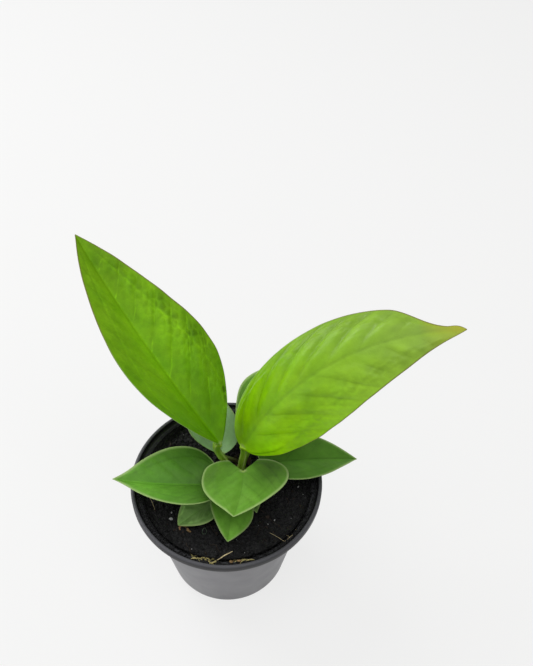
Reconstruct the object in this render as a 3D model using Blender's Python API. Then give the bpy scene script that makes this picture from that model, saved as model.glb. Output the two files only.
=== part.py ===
"""Potted anthurium: a young plant of ten leaves in a 12 cm nursery pot.

Every size below is in millimetres and degrees.  The meshes are written in metres, +Z up, with the
origin on the table at the middle of the pot's underside.  A heading is measured from +X towards +Y.
"""

import math
from typing import NamedTuple

import bmesh
import bpy
import numpy as np

MM = 0.001
GAP = 0.3                  # clearance kept between pieces that touch

# --- pot ------------------------------------------------------------------------------------
POT_HEIGHT = 90.0
RIM_RADIUS = 60.0
BASE_RADIUS = 40.0
SHOULDER_RADIUS = 53.2     # outside of the wall, where the straight wall would meet the lip's foot
WALL = 1.2
LIP_DEPTH = 5.0            # height of the rolled lip
LIP_WIDTH = 2.6
SHELF_DROP = 2.6           # narrow shelf inside the lip, below the rim
SHELF_WIDTH = 1.9
FLARE_DROP = 9.0           # below the rim, where the plain wall starts to flare out to the shelf
POT_SIDES = 60
DRAIN_HOLES = 8
DRAIN_RADIUS = 4.0
DRAIN_CIRCLE = 27.0        # radius of the circle that the drain holes stand on

# --- soil and crown -------------------------------------------------------------------------
SOIL_TOP = 85.0            # level by the wall
SOIL_DISH = 2.5            # how far the middle lies below that
SOIL_EDGE_FLARE = 1.9      # how much wider the surface is than the plain wall below it
SOIL_SIDES = 40
SOIL_RINGS = 5
CROWN_AT = (7.0, 8.0)
CROWN_RADIUS = 9.5
CROWN_TOP = 84.2
CROWN_FOOT = 74.0

# --- leaves ---------------------------------------------------------------------------------
BLADE_THICKNESS = 0.6
FACE_LENGTH = 5.0          # rough length of a blade's faces along the midrib
FEWEST_STEPS, MOST_STEPS = 8, 18
SMALL_BLADE = 100.0        # a shorter blade needs fewer faces across
FIRST_STEP = 0.07          # share of the outline left off at the base, where the petiole joins
LAST_STEP = 0.995          # share of the outline at which the tip is cut blunt
DRIP_START = 0.76          # a drip starts here on the way to the tip
DRIP_MIDDLE = 0.93         # and draws the margin in most here
PETIOLE_SIDES = 8
PETIOLE_STEPS = 8
PETIOLE_SEAT = 2.0         # how far along the midrib the petiole's end sits


class Leaf(NamedTuple):
    """One leaf: a heart-shaped blade bent along its midrib, on a petiole from the crown."""

    name: str
    base: tuple            # where the midrib starts
    heading: float         # direction of the midrib at its base
    rise: float            # slope of the midrib at its base
    bend: float            # change of slope from base to tip
    sway: float            # change of heading from base to tip
    roll: float            # sideways tilt at the base, left side up
    twist: float           # change of tilt from base to tip
    length: float          # midrib, base to tip
    half_width: float      # midrib to margin at the widest
    lobe: float            # reach of the two back lobes behind the base, as a share of the length
    blunt: float           # how full the blade is at its base: lower is fuller
    taper: float           # how soon the blade narrows to its tip: higher is sooner
    folds: tuple           # how far the left and right sides fold up from the midrib
    curl: float            # how far a side curls down again by its margin
    skew: tuple            # how far the widest part of the left and right halves shifts to the base
    drip: tuple            # how much the left and right margins draw in before the tip
    root: tuple            # where the petiole leaves the crown, from the crown's centre
    lean: float            # how far the petiole comes in along the blade, against square to it
    stalk: float           # radius of the petiole
    green: tuple           # linear RGB


LEAVES = (
    Leaf("leaf_tall_left", (-3.4, 5.5, 118.4), 138, 28.5, -3, -10.5, 14.5, -9, 161.1, 34.7,
         0.00, 0.82, 1.08, (32, 21.5), 10, (0.09, 0.1), (0, 0), (-6.2, 2), 0.1, 2.3,
         (0.110, 0.290, 0.010)),
    Leaf("leaf_tall_right", (9.4, 6.8, 114.2), 24.5, 67.5, -63, -26.5, 14, -1.5, 161.2, 31.9,
         0.01, 0.57, 0.95, (4, -11), 32, (-0.06, 0.01), (0.65, 0.09), (1.2, 1), 1.5, 2.5,
         (0.195, 0.420, 0.012)),
    Leaf("leaf_left", (-5.8, -7.3, 94.1), 189, 7.5, -2.5, -13, 6.5, 2, 63.8, 25.9,
         0.05, 0.58, 1.13, (29, 25), 8, (-0.02, -0.05), (0.1, 0.1), (-6.6, -4), 1, 1.2,
         (0.080, 0.210, 0.025)),
    Leaf("leaf_front_heart", (10.4, -3.6, 104.9), -88, 22.5, 3.5, -13.5, 3.5, 5, 46.3, 26.9,
         0.24, 0.29, 0.85, (8, 7.5), 21, (0.04, -0.06), (0, 0), (1.6, -3.9), 1, 1.25,
         (0.115, 0.270, 0.038)),
    Leaf("leaf_front_low", (5.2, -6.7, 90.6), -92.5, 5.5, -3.5, -1, -7.5, -6, 38.4, 14.1,
         0.10, 0.53, 0.86, (10, 16), 18, (-0.09, 0.03), (0, 0), (-0.8, -6.2), 1, 1,
         (0.055, 0.145, 0.018)),
    Leaf("leaf_front_left_low", (-2.1, -9.3, 86.3), -139, 5, -12, -0.5, 3.5, -3, 34, 12.5,
         0.10, 0.55, 0.79, (20, 17), 14, (-0.12, -0.06), (0, 0), (-3.9, -5.4), 1, 0.9,
         (0.058, 0.120, 0.027)),
    Leaf("leaf_right", (22.8, 7, 97.5), 11, -0.5, -16.5, 0, -7, 4, 62.5, 20.7,
         0.08, 0.60, 1.11, (16.5, 22.5), 13, (-0.02, -0.01), (0, 0), (6.8, 0.2), 1, 1.2,
         (0.062, 0.145, 0.025)),
    Leaf("leaf_back_left", (-3.2, 12.3, 98), 110.5, 16, -17, 5.5, 15.5, 0, 60.2, 17.8,
         0.00, 0.60, 1.05, (23.5, 11), 21, (0.12, 0.01), (0, 0), (-0.2, 7.8), 1, 1.1,
         (0.105, 0.200, 0.075)),
    Leaf("leaf_back_right", (15.4, 19, 102.7), 72, 21, -23.5, 1, 3.5, -1.5, 61.2, 20.8,
         0.05, 0.62, 0.91, (14.5, 15), 15, (-0.14, 0), (0, 0), (3, 5.8), 1, 1.1,
         (0.125, 0.300, 0.030)),
    Leaf("leaf_bud_front", (13, -6.4, 85.5), -64, 11, -7.5, -7, -4, -3.5, 17.5, 7,
         0.12, 0.49, 1.03, (15, 17), 17, (0, 0), (0, 0), (5, -4.9), 1, 0.7,
         (0.140, 0.300, 0.060)),
)


# --- helpers --------------------------------------------------------------------------------
def clear_scene():
    """Remove every object, so that the file holds only this part."""
    for thing in list(bpy.data.objects):
        bpy.data.objects.remove(thing, do_unlink=True)


def finish(name, mesh, colour, roughness):
    """Name the object, give it its own material, and round its shading."""
    thing = bpy.data.objects.new(name, mesh)
    bpy.context.scene.collection.objects.link(thing)
    material = bpy.data.materials.new(name)
    material.use_nodes = True
    shader = material.node_tree.nodes["Principled BSDF"]
    shader.inputs["Base Color"].default_value = (*colour, 1.0)
    shader.inputs["Roughness"].default_value = roughness
    shader.inputs["Metallic"].default_value = 0.0
    mesh.materials.append(material)
    mesh.shade_smooth()
    mesh.set_sharp_from_angle(angle=math.radians(40))
    return thing


def rings_to_mesh(name, rings):
    """Bridge a stack of equal closed rings, given as an array ring, point, xyz, and cap the ends."""
    sides = rings.shape[1]
    form = bmesh.new()
    rows = [[form.verts.new(point) for point in ring * MM] for ring in rings]
    for low, high in zip(rows, rows[1:]):
        for side in range(sides):
            after = (side + 1) % sides
            form.faces.new((low[side], low[after], high[after], high[side]))
    form.faces.new(list(reversed(rows[0])))
    form.faces.new(rows[-1])
    bmesh.ops.recalc_face_normals(form, faces=form.faces)
    mesh = bpy.data.meshes.new(name)
    form.to_mesh(mesh)
    form.free()
    return mesh


def unit(vectors):
    """Scale each vector to length one."""
    return vectors / np.linalg.norm(vectors, axis=-1, keepdims=True)


# --- pot ------------------------------------------------------------------------------------
def wall_radius(height):
    """Outer radius of the pot's wall, which widens in a straight line from the base."""
    return BASE_RADIUS + (SHOULDER_RADIUS - BASE_RADIUS) * height / (POT_HEIGHT - LIP_DEPTH)


def pot_profile():
    """Radius and height round the wall: up the inside, over the lip, and down the outside.

    The plain wall flares out to a narrow shelf, on which the next pot of a stack rests, and a
    rolled lip stands up and out from the shelf.
    """
    flare = POT_HEIGHT - FLARE_DROP
    shelf = POT_HEIGHT - SHELF_DROP
    lip_inside = RIM_RADIUS - LIP_WIDTH
    shelf_edge = lip_inside - SHELF_WIDTH
    lip_foot = POT_HEIGHT - LIP_DEPTH
    return (
        (0.0, WALL),
        (wall_radius(WALL) - WALL - 0.8, WALL),
        (wall_radius(WALL) - WALL, WALL + 1.2),
        (wall_radius(flare) - WALL, flare),
        (shelf_edge - 0.4, shelf - 0.6),
        (shelf_edge, shelf - 0.1),
        (lip_inside - 0.4, shelf + 0.1),
        (lip_inside, shelf + 0.7),
        (lip_inside + 0.2, POT_HEIGHT - 0.7),
        (lip_inside + 0.7, POT_HEIGHT - 0.1),
        (RIM_RADIUS - 1.1, POT_HEIGHT),
        (RIM_RADIUS - 0.4, POT_HEIGHT - 0.5),
        (RIM_RADIUS, POT_HEIGHT - 1.6),
        (RIM_RADIUS, lip_foot + 1.2),
        (RIM_RADIUS - 0.3, lip_foot + 0.3),
        (RIM_RADIUS - 0.8, lip_foot),
        (RIM_RADIUS - 1.3, lip_foot + 0.2),
        (RIM_RADIUS - 1.6, lip_foot + 0.9),
        (shelf_edge + 0.6, lip_foot + 0.9),
        (shelf_edge - 0.1, lip_foot + 0.3),
        (wall_radius(flare) + 1.4, flare + 2.0),
        (wall_radius(flare) + 0.1, flare + 0.4),
        (wall_radius(1.6), 1.6),
        (wall_radius(1.6) - 0.4, 0.5),
        (BASE_RADIUS - 1.2, 0.0),
        (0.0, 0.0),
    )


def drain_cutter():
    """A ring of upright pegs that cut the drain holes through the floor."""
    form = bmesh.new()
    for number in range(DRAIN_HOLES):
        turn = math.tau * number / DRAIN_HOLES
        made = bmesh.ops.create_cone(
            form, cap_ends=True, segments=16, radius1=DRAIN_RADIUS * MM,
            radius2=DRAIN_RADIUS * MM, depth=4 * WALL * MM,
        )
        place = (DRAIN_CIRCLE * math.cos(turn) * MM, DRAIN_CIRCLE * math.sin(turn) * MM, 0.0)
        bmesh.ops.translate(form, verts=made["verts"], vec=place)
    mesh = bpy.data.meshes.new("drain_cutter")
    form.to_mesh(mesh)
    form.free()
    cutter = bpy.data.objects.new("drain_cutter", mesh)
    bpy.context.scene.collection.objects.link(cutter)
    cutter.hide_render = True
    cutter.display_type = "WIRE"
    return cutter


def make_pot():
    """Turn the profile round the axis, then cut the drain holes."""
    form = bmesh.new()
    points = [form.verts.new((radius * MM, 0.0, height * MM)) for radius, height in pot_profile()]
    for one, other in zip(points, points[1:]):
        form.edges.new((one, other))
    mesh = bpy.data.meshes.new("pot")
    form.to_mesh(mesh)
    form.free()
    pot = finish("pot", mesh, (0.150, 0.150, 0.154), 0.5)
    turned = pot.modifiers.new("turned", "SCREW")
    turned.steps = POT_SIDES
    turned.render_steps = POT_SIDES
    turned.use_merge_vertices = True
    turned.merge_threshold = 0.00005
    turned.use_smooth_shade = True
    drained = pot.modifiers.new("drained", "BOOLEAN")
    drained.operation = "DIFFERENCE"
    drained.solver = "EXACT"
    drained.object = drain_cutter()
    return pot


# --- soil and crown -------------------------------------------------------------------------
def soil_height(x, y):
    """An uneven surface that sinks a little towards the middle of the pot."""
    dish = SOIL_DISH * (1.0 - (x * x + y * y) / RIM_RADIUS ** 2)
    lumps = 0.35 * np.sin(0.31 * x + 0.7) * np.cos(0.27 * y) + 0.25 * np.sin(0.19 * (x - y))
    return SOIL_TOP - dish + lumps


def make_soil():
    """Potting mix that fills the pot, with a pocket for the foot of the crown.

    Rings run from the pocket's floor up its side, out over the surface while they slide from the
    crown's centre to the pot's axis, and down inside the flare and the wall to the floor.
    """
    turn = np.arange(SOIL_SIDES) * math.tau / SOIL_SIDES
    circle = np.stack([np.cos(turn), np.sin(turn)], axis=1)
    crown = np.array(CROWN_AT)
    pocket = CROWN_RADIUS + GAP
    flare = POT_HEIGHT - FLARE_DROP
    side = wall_radius(flare) - WALL - GAP - 0.1
    edge = side + SOIL_EDGE_FLARE

    def ring(centre, radius, height=None):
        flat = centre + radius * circle
        level = soil_height(flat[:, 0], flat[:, 1]) if height is None else np.full(SOIL_SIDES, height)
        return np.column_stack([flat, level])

    rings = [ring(crown, pocket * 0.3, CROWN_FOOT - GAP), ring(crown, pocket, CROWN_FOOT - GAP)]
    for share in np.linspace(0.0, 1.0, SOIL_RINGS + 1):
        radius = pocket + (edge - pocket) * share
        rings.append(ring(crown * (1.0 - share), radius))
    rings.append(ring(crown * 0.0, side, flare))
    foot = wall_radius(WALL) - WALL - 1.4
    rings.append(ring(crown * 0.0, foot, WALL + GAP + 1.0))
    rings.append(ring(crown * 0.0, foot - 1.2, WALL + GAP))
    mesh = rings_to_mesh("soil", np.array(rings))
    return finish("soil", mesh, (0.012, 0.010, 0.008), 0.95)


def make_crown():
    """The short stem that all the petioles grow from: a stub with a flat top and a narrower foot."""
    turn = np.arange(24) * math.tau / 24
    shape = (
        (0.45, CROWN_FOOT),
        (0.72, CROWN_FOOT + 1.0),
        (0.88, CROWN_FOOT + 4.0),
        (1.00, CROWN_TOP - 3.0),
        (0.98, CROWN_TOP - 0.8),
        (0.90, CROWN_TOP),
    )
    rings = []
    for share, height in shape:
        radius = CROWN_RADIUS * share
        x = CROWN_AT[0] + radius * np.cos(turn)
        y = CROWN_AT[1] + radius * np.sin(turn)
        rings.append(np.column_stack([x, y, np.full(24, height)]))
    mesh = rings_to_mesh("crown", np.array(rings))
    return finish("crown", mesh, (0.090, 0.100, 0.030), 0.7)


# --- leaf blade -----------------------------------------------------------------------------
def ease(low, high, value):
    """Smooth step from 0 at low to 1 at high."""
    share = np.clip((value - low) / (high - low), 0.0, 1.0)
    return share * share * (3.0 - 2.0 * share)


def heart_outline(leaf, along, side):
    """Distance along and half width of the flat outline, for shares of the way to the tip.

    The width follows u**blunt * (1 - u)**taper, scaled to its peak, where u runs from the back of
    the lobes to the tip.  Skew shifts the fullness of a half along it.  Close to the midrib the
    back edge turns in to the notch, and a drip draws a margin in just before the tip.  side is
    positive for the left half.
    """
    u = along ** 1.8
    total = leaf.blunt + leaf.taper
    peak = (leaf.blunt / total) ** leaf.blunt * (leaf.taper / total) ** leaf.taper
    width = leaf.half_width * u ** leaf.blunt * (1.0 - u) ** leaf.taper / peak
    drip = np.where(side > 0.0, leaf.drip[0], leaf.drip[1])
    skew = np.where(side > 0.0, leaf.skew[0], leaf.skew[1])
    behind = leaf.lobe * leaf.length
    notch = np.clip(1.0 - width / (0.45 * leaf.half_width), 0.0, 1.0) * (u < 0.5)
    drawn = drip * ease(DRIP_START, DRIP_MIDDLE, u) * (1.0 - ease(DRIP_MIDDLE, 1.0, u))
    width = width * (1.0 - drawn) * (1.0 + skew * np.sin(math.tau * u))
    return u * (leaf.length + behind) - behind * (1.0 - notch ** 2), width


def midrib_frame(leaf, distance):
    """Point, direction, left and up along the midrib, at distances from its base."""
    steps = np.linspace(0.0, 1.0, 81)
    heading = np.radians(leaf.heading + leaf.sway * steps)
    rise = np.radians(leaf.rise + leaf.bend * steps)
    ahead = np.stack([np.cos(rise) * np.cos(heading), np.cos(rise) * np.sin(heading), np.sin(rise)], 1)
    path = np.zeros((81, 3))
    path[1:] = np.cumsum((ahead[1:] + ahead[:-1]) / 2.0, axis=0) * leaf.length / 80.0
    share = np.clip(distance / leaf.length, 0.0, 1.0)
    point = np.stack([np.interp(share, steps, path[:, axis]) for axis in range(3)], -1)
    point = point + np.minimum(distance, 0.0)[..., None] * ahead[0] + np.array(leaf.base)
    heading = np.radians(leaf.heading + leaf.sway * share)
    rise = np.radians(leaf.rise + leaf.bend * share)
    roll = np.radians(leaf.roll + leaf.twist * share)[..., None]
    forward = np.stack(
        [np.cos(rise) * np.cos(heading), np.cos(rise) * np.sin(heading), np.sin(rise)], -1
    )
    level = np.stack([-np.sin(heading), np.cos(heading), np.zeros_like(heading)], -1)
    normal = np.cross(forward, level)
    left = level * np.cos(roll) + normal * np.sin(roll)
    up = normal * np.cos(roll) - level * np.sin(roll)
    return point, forward, left, up


def bend_blade(leaf, along, across):
    """Carry points of the flat blade onto the bent one.

    across is positive to the left.  Each side leaves the midrib at its fold angle and curls evenly
    down from there, so that it follows a circular arc.
    """
    point, _, left, up = midrib_frame(leaf, along)
    fold = np.radians(np.where(across > 0.0, leaf.folds[0], leaf.folds[1]))
    bending = math.radians(leaf.curl) / leaf.half_width
    reach = np.abs(across)
    angle = fold - bending * reach
    sideways = (np.sin(fold) - np.sin(angle)) / bending
    upwards = (np.cos(angle) - np.cos(fold)) / bending
    return point + left * (np.sign(across) * sideways)[..., None] + up * upwards[..., None]


def blade_grid(leaf):
    """Grid of points: rows follow the side veins, which leave the midrib and sweep to the margin."""
    steps = int(np.clip(round(leaf.length / FACE_LENGTH), FEWEST_STEPS, MOST_STEPS))
    columns = 4 if leaf.length < SMALL_BLADE else 5
    along = np.linspace(FIRST_STEP, LAST_STEP, steps + 1)[:, None]
    side = np.linspace(-1.0, 1.0, 2 * columns + 1)[None, :]
    margin, width = heart_outline(leaf, along, side)
    start = leaf.length * (0.03 * along + 0.97 * along ** 4)
    start = start + (margin - start) * along ** 8
    flat_along = start + (margin - start) * np.abs(side)
    return bend_blade(leaf, flat_along, width * side)


def make_blade(leaf):
    """A grid laid on the bent blade and thickened to a sheet."""
    points = blade_grid(leaf)
    rows, columns, _ = points.shape
    form = bmesh.new()
    bmesh.ops.create_grid(form, x_segments=columns - 1, y_segments=rows - 1, size=1.0)
    form.verts.ensure_lookup_table()
    for vertex, place in zip(form.verts, points.reshape(-1, 3) * MM):
        vertex.co = place
    mesh = bpy.data.meshes.new(leaf.name + "_blade")
    form.to_mesh(mesh)
    form.free()
    blade = finish(leaf.name + "_blade", mesh, leaf.green, 0.35)
    thick = blade.modifiers.new("thickness", "SOLIDIFY")
    thick.thickness = BLADE_THICKNESS * MM
    thick.offset = 0.0
    return blade


# --- petiole --------------------------------------------------------------------------------
def petiole_path(leaf):
    """Smooth path from the top of the crown up to the underside of the blade.

    It stops lower where a half of the blade folds down beside the midrib.
    """
    seat, forward, left, up = (part[0] for part in midrib_frame(leaf, np.array([PETIOLE_SEAT])))
    dip = leaf.stalk * math.sin(math.radians(max(0.0, -min(leaf.folds))))
    end = seat - up * (BLADE_THICKNESS / 2.0 + GAP + dip)
    start = np.array([CROWN_AT[0] + leaf.root[0], CROWN_AT[1] + leaf.root[1], CROWN_TOP + GAP])
    span = np.linalg.norm(end - start)
    lean = (end - start) * np.array([0.6, 0.6, 0.0]) / span
    leave = unit(np.array([0.0, 0.0, 1.0]) + lean)
    arrive = unit(leaf.lean * forward + up)
    first, second = start + leave * 0.4 * span, end - arrive * 0.3 * span
    share = np.linspace(0.0, 1.0, PETIOLE_STEPS + 1)[:, None]
    path = (
        (1 - share) ** 3 * start
        + 3 * (1 - share) ** 2 * share * first
        + 3 * (1 - share) * share ** 2 * second
        + share ** 3 * end
    )
    return path, forward, left, up


def make_petiole(leaf):
    """A slender stalk, wider at its foot.

    Its foot is level, to stand on the crown, and its end lies in the blade's plane, under the
    midrib.  Between the two the rings turn evenly from one plane to the other.
    """
    path, forward, left, up = petiole_path(leaf)
    turn = np.arange(PETIOLE_SIDES) * math.tau / PETIOLE_SIDES
    share = np.linspace(0.0, 1.0, PETIOLE_STEPS + 1)[:, None]
    normal = unit(np.gradient(path, axis=0))
    normal[0], normal[-1] = (0.0, 0.0, 1.0), up
    sideways = left - normal * (normal @ left)[:, None]
    sideways = unit(sideways)
    onward = np.cross(sideways, normal)
    radius = leaf.stalk * (1.0 + 0.15 * (1.0 - share) ** 3)
    rings = (
        path[:, None, :]
        + radius[:, :, None] * np.cos(turn)[None, :, None] * sideways[:, None, :]
        + radius[:, :, None] * np.sin(turn)[None, :, None] * onward[:, None, :]
    )
    mesh = rings_to_mesh(leaf.name + "_petiole", rings)
    return finish(leaf.name + "_petiole", mesh, (0.120, 0.220, 0.050), 0.45)


def main():
    clear_scene()
    make_pot()
    make_soil()
    make_crown()
    for leaf in LEAVES:
        make_blade(leaf)
        make_petiole(leaf)


main()
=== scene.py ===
"""Potted anthurium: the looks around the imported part.

Every new piece is a surface worked out with numpy, and the pot's drain holes are cut afterwards.
A blade is a flat heart-shaped pattern whose rows follow the side veins; it is bent along its
midrib, quilted between the veins and given a thickness.  Lengths in the tables are millimetres
and angles are degrees, apart from the lamps' and the camera's places and the settings, which are
metres; meshes are in metres.
"""

import math
from typing import NamedTuple

import bpy
import numpy as np
from bpy.props import FloatProperty, FloatVectorProperty, IntProperty, PointerProperty
from bpy.types import Operator, Panel, PropertyGroup
from mathutils import Matrix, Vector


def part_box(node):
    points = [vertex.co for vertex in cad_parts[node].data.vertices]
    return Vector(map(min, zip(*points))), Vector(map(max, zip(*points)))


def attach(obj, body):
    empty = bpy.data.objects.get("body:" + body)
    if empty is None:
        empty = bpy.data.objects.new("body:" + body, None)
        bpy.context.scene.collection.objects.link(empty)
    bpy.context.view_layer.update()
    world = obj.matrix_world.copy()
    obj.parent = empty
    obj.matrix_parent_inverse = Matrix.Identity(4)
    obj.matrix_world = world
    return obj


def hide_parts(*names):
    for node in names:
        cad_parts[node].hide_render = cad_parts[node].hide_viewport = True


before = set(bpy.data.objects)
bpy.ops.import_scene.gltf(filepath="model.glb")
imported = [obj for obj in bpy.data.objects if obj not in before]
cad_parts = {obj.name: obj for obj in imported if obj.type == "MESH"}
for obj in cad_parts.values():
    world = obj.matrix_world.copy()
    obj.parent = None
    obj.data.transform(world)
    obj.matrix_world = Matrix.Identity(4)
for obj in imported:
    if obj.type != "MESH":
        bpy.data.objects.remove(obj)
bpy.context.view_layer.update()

bl_info = {
    "name": "Potted anthurium",
    "version": (1, 0, 0),
    "blender": (4, 5, 0),
    "location": "3D View > Sidebar > Anthurium",
    "description": "Dresses a potted anthurium: blades, stalks, crown, potting mix and pot",
    "category": "Add Mesh",
}

MM = 0.001
POT_HIGH = np.array(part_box("pot")[1]) / MM
SOIL_LOW, SOIL_HIGH = (np.array(corner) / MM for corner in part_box("soil"))
CROWN_LOW, CROWN_HIGH = (np.array(corner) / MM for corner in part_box("crown"))

# --- pot, soil and crown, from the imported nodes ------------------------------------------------
RIM_RADIUS = POT_HIGH[0]
POT_HEIGHT = POT_HIGH[2]
BASE_RADIUS = RIM_RADIUS * 2.0 / 3.0
SHOULDER_RADIUS = 53.2                  # outside of the wall, where the lip's foot is
WALL = 1.2                              # thickness of wall and floor
LIP_INSIDE = RIM_RADIUS - 2.6           # inner radius of the rolled lip
LIP_FOOT = POT_HEIGHT - 5.0             # height of the lip's lower edge
SHELF = POT_HEIGHT - 2.6                # height of the narrow shelf inside the lip
SHELF_EDGE = LIP_INSIDE - 1.9           # inner radius of the shelf
FLARE = POT_HEIGHT - 9.0                # height at which the wall flares out to the shelf
DRAIN_HOLES = 8
DRAIN_RADIUS = 4.0
DRAIN_CIRCLE = 27.0                     # radius of the ring that the drain holes lie on
SOIL_TOP = 85.0                         # height of the mix at its edge
SOIL_DISH = 2.5                         # how far it sinks in the middle
SOIL_EDGE = SOIL_HIGH[0] + 0.1
CROWN_AT = (CROWN_LOW[:2] + CROWN_HIGH[:2]) / 2.0
CROWN_RADIUS = (CROWN_HIGH[0] - CROWN_LOW[0]) / 2.0
CROWN_TOP = CROWN_HIGH[2]
UV_SPAN = 200.0                         # millimetres that the surface coordinates span from 0 to 1

# --- fixed settings of the blades ----------------------------------------------------------------
VEIN_SLANT = math.radians(35.0)         # from the midrib to the line square to the side veins
FIRST_VEIN = 50.0                       # number of the first side vein, so that none is below zero
ALL_ACROSS = 1.5                        # a patch at least this wide runs right across the blade
STALK_SEAT = 2.0                        # how far along the midrib the stalk's end sits
SEAT_DEPTH = 0.45                       # how far under the midrib's line it ends
FAR = 6.0                               # millimetres beyond which a distance to a line has no use


class Leaf(NamedTuple):
    """One leaf: a heart-shaped blade bent along its midrib, on a stalk from the crown."""

    name: str
    base: tuple            # where the midrib starts
    heading: float         # direction of the midrib at its base, from +X towards +Y
    rise: float            # slope of the midrib at its base
    bend: float            # change of slope from base to tip
    sway: float            # change of heading from base to tip
    roll: float            # sideways tilt at the base, left side up
    twist: float           # change of tilt from base to tip
    length: float          # midrib, base to tip
    half_width: float      # midrib to margin at the widest
    lobe: float            # reach of the back lobes behind the base, as a share of the length
    blunt: float           # how full the blade is at its base: lower is fuller
    taper: float           # how soon the blade narrows to its tip: higher is sooner
    folds: tuple           # how far the left and right sides fold up from the midrib
    curl: float            # how far a side curls down again by its margin
    skew: tuple            # how far the widest part of the left and right halves shifts to the base
    drip: tuple            # how far the left and right margins are drawn in just before the tip
    root: tuple            # where the stalk leaves the crown, from the crown's centre
    lean: float            # how far the stalk comes in along the blade, against square to it
    stalk: float           # radius of the stalk
    veins: int             # side veins on each side
    quilt: float           # height of the quilting between the veins
    green: str             # name of its colour


# The shape values are those of the imported part.  They come from a least-squares fit of this leaf's
# formula, rounded, and only a few of them were set one by one.
LEAVES = (
    Leaf("leaf_tall_left", (-3.4, 5.5, 118.4), 138, 28.5, -3, -10.5, 14.5, -9, 161.1, 34.7,
         0.00, 0.82, 1.08, (32, 21.5), 10, (0.09, 0.1), (0, 0), (-6.2, 2), 0.1, 2.3,
         8, 1.0, "tall"),
    Leaf("leaf_tall_right", (9.4, 6.8, 114.2), 24.5, 67.5, -63, -26.5, 14, -1.5, 161.2, 31.9,
         0.01, 0.57, 0.95, (4, -11), 32, (-0.06, 0.01), (0.65, 0.09), (1.2, 1), 1.5, 2.5,
         8, 1.9, "newest"),
    Leaf("leaf_left", (-5.8, -7.3, 94.1), 189, 7.5, -2.5, -13, 6.5, 2, 63.8, 25.9,
         0.05, 0.58, 1.13, (29, 25), 8, (-0.02, -0.05), (0.1, 0.1), (-6.6, -4), 1, 1.2,
         5, 0.55, "mature"),
    Leaf("leaf_front_heart", (10.4, -3.6, 104.9), -88, 22.5, 3.5, -13.5, 3.5, 5, 46.3, 26.9,
         0.24, 0.29, 0.85, (8, 7.5), 21, (0.04, -0.06), (0, 0), (1.6, -3.9), 1, 1.25,
         4, 0.7, "heart"),
    Leaf("leaf_front_low", (5.2, -6.7, 90.6), -92.5, 5.5, -3.5, -1, -7.5, -6, 38.4, 14.1,
         0.10, 0.53, 0.86, (10, 16), 18, (-0.09, 0.03), (0, 0), (-0.8, -6.2), 1, 1,
         4, 0.5, "fresh"),
    Leaf("leaf_front_left_low", (-2.1, -9.3, 86.3), -139, 5, -12, -0.5, 3.5, -3, 34, 12.5,
         0.10, 0.55, 0.79, (20, 17), 14, (-0.12, -0.06), (0, 0), (-3.9, -5.4), 1, 0.9,
         5, 0.8, "lowest"),
    Leaf("leaf_right", (22.8, 7, 97.5), 11, -0.5, -16.5, 0, -7, 4, 62.5, 20.7,
         0.08, 0.60, 1.11, (16.5, 22.5), 13, (-0.02, -0.01), (0, 0), (6.8, 0.2), 1, 1.2,
         5, 0.35, "shaded"),
    Leaf("leaf_back_left", (-3.2, 12.3, 98), 110.5, 16, -17, 5.5, 15.5, 0, 60.2, 17.8,
         0.00, 0.60, 1.05, (23.5, 11), 21, (0.12, 0.01), (0, 0), (-0.2, 7.8), 1, 1.1,
         5, 0.25, "greyed"),
    Leaf("leaf_back_right", (15.4, 19, 102.7), 72, 21, -23.5, 1, 3.5, -1.5, 61.2, 20.8,
         0.05, 0.62, 0.91, (14.5, 15), 15, (-0.14, 0), (0, 0), (3, 5.8), 1, 1.1,
         5, 0.35, "heart"),
    Leaf("leaf_bud_front", (13, -6.4, 85.5), -64, 11, -7.5, -7, -4, -3.5, 17.5, 7,
         0.12, 0.49, 1.03, (15, 17), 17, (0, 0), (0, 0), (5, -4.9), 1, 0.7,
         3, 0.15, "pale"),
)


class Look(NamedTuple):
    """How the blades of one green are finished.  Lines are pale above zero and dark below."""

    # A line with strength below zero is painted shade in a sunken vein.
    vein: float            # how strongly the side veins show
    loop: float            # the same for the vein that runs inside the margin
    rib: float             # the same for the midrib
    # The cells' insides are also darkened by this, as painted shade.
    cells: float           # how far the small cells between the veins stand up
    # Painted shade: the blade is darkened outside the inner loop, where it curves away from the light.
    painted_band_shade: float            # how much darker the blade is outside the inner loop
    # The pale margin is a painted highlight on the rolled edge of a blade.
    rim: float             # width of the pale margin, mm
    gloss: float           # roughness
    shine: float           # specular level
    # The soft patches are partly painted light and shade, by how the light falls on each part of the blade,
    # and partly its own colour.
    tones: tuple           # soft patches: share along, share across, their two reaches, strength
    busy: tuple = (1.0, 1.0)     # strength of the cells and mottling on the left and right halves
    # The quilting's strength also scales the painted light on its ridges.
    swell: tuple = (1.0, 1.0)    # strength of the quilting on the left and right halves


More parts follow.
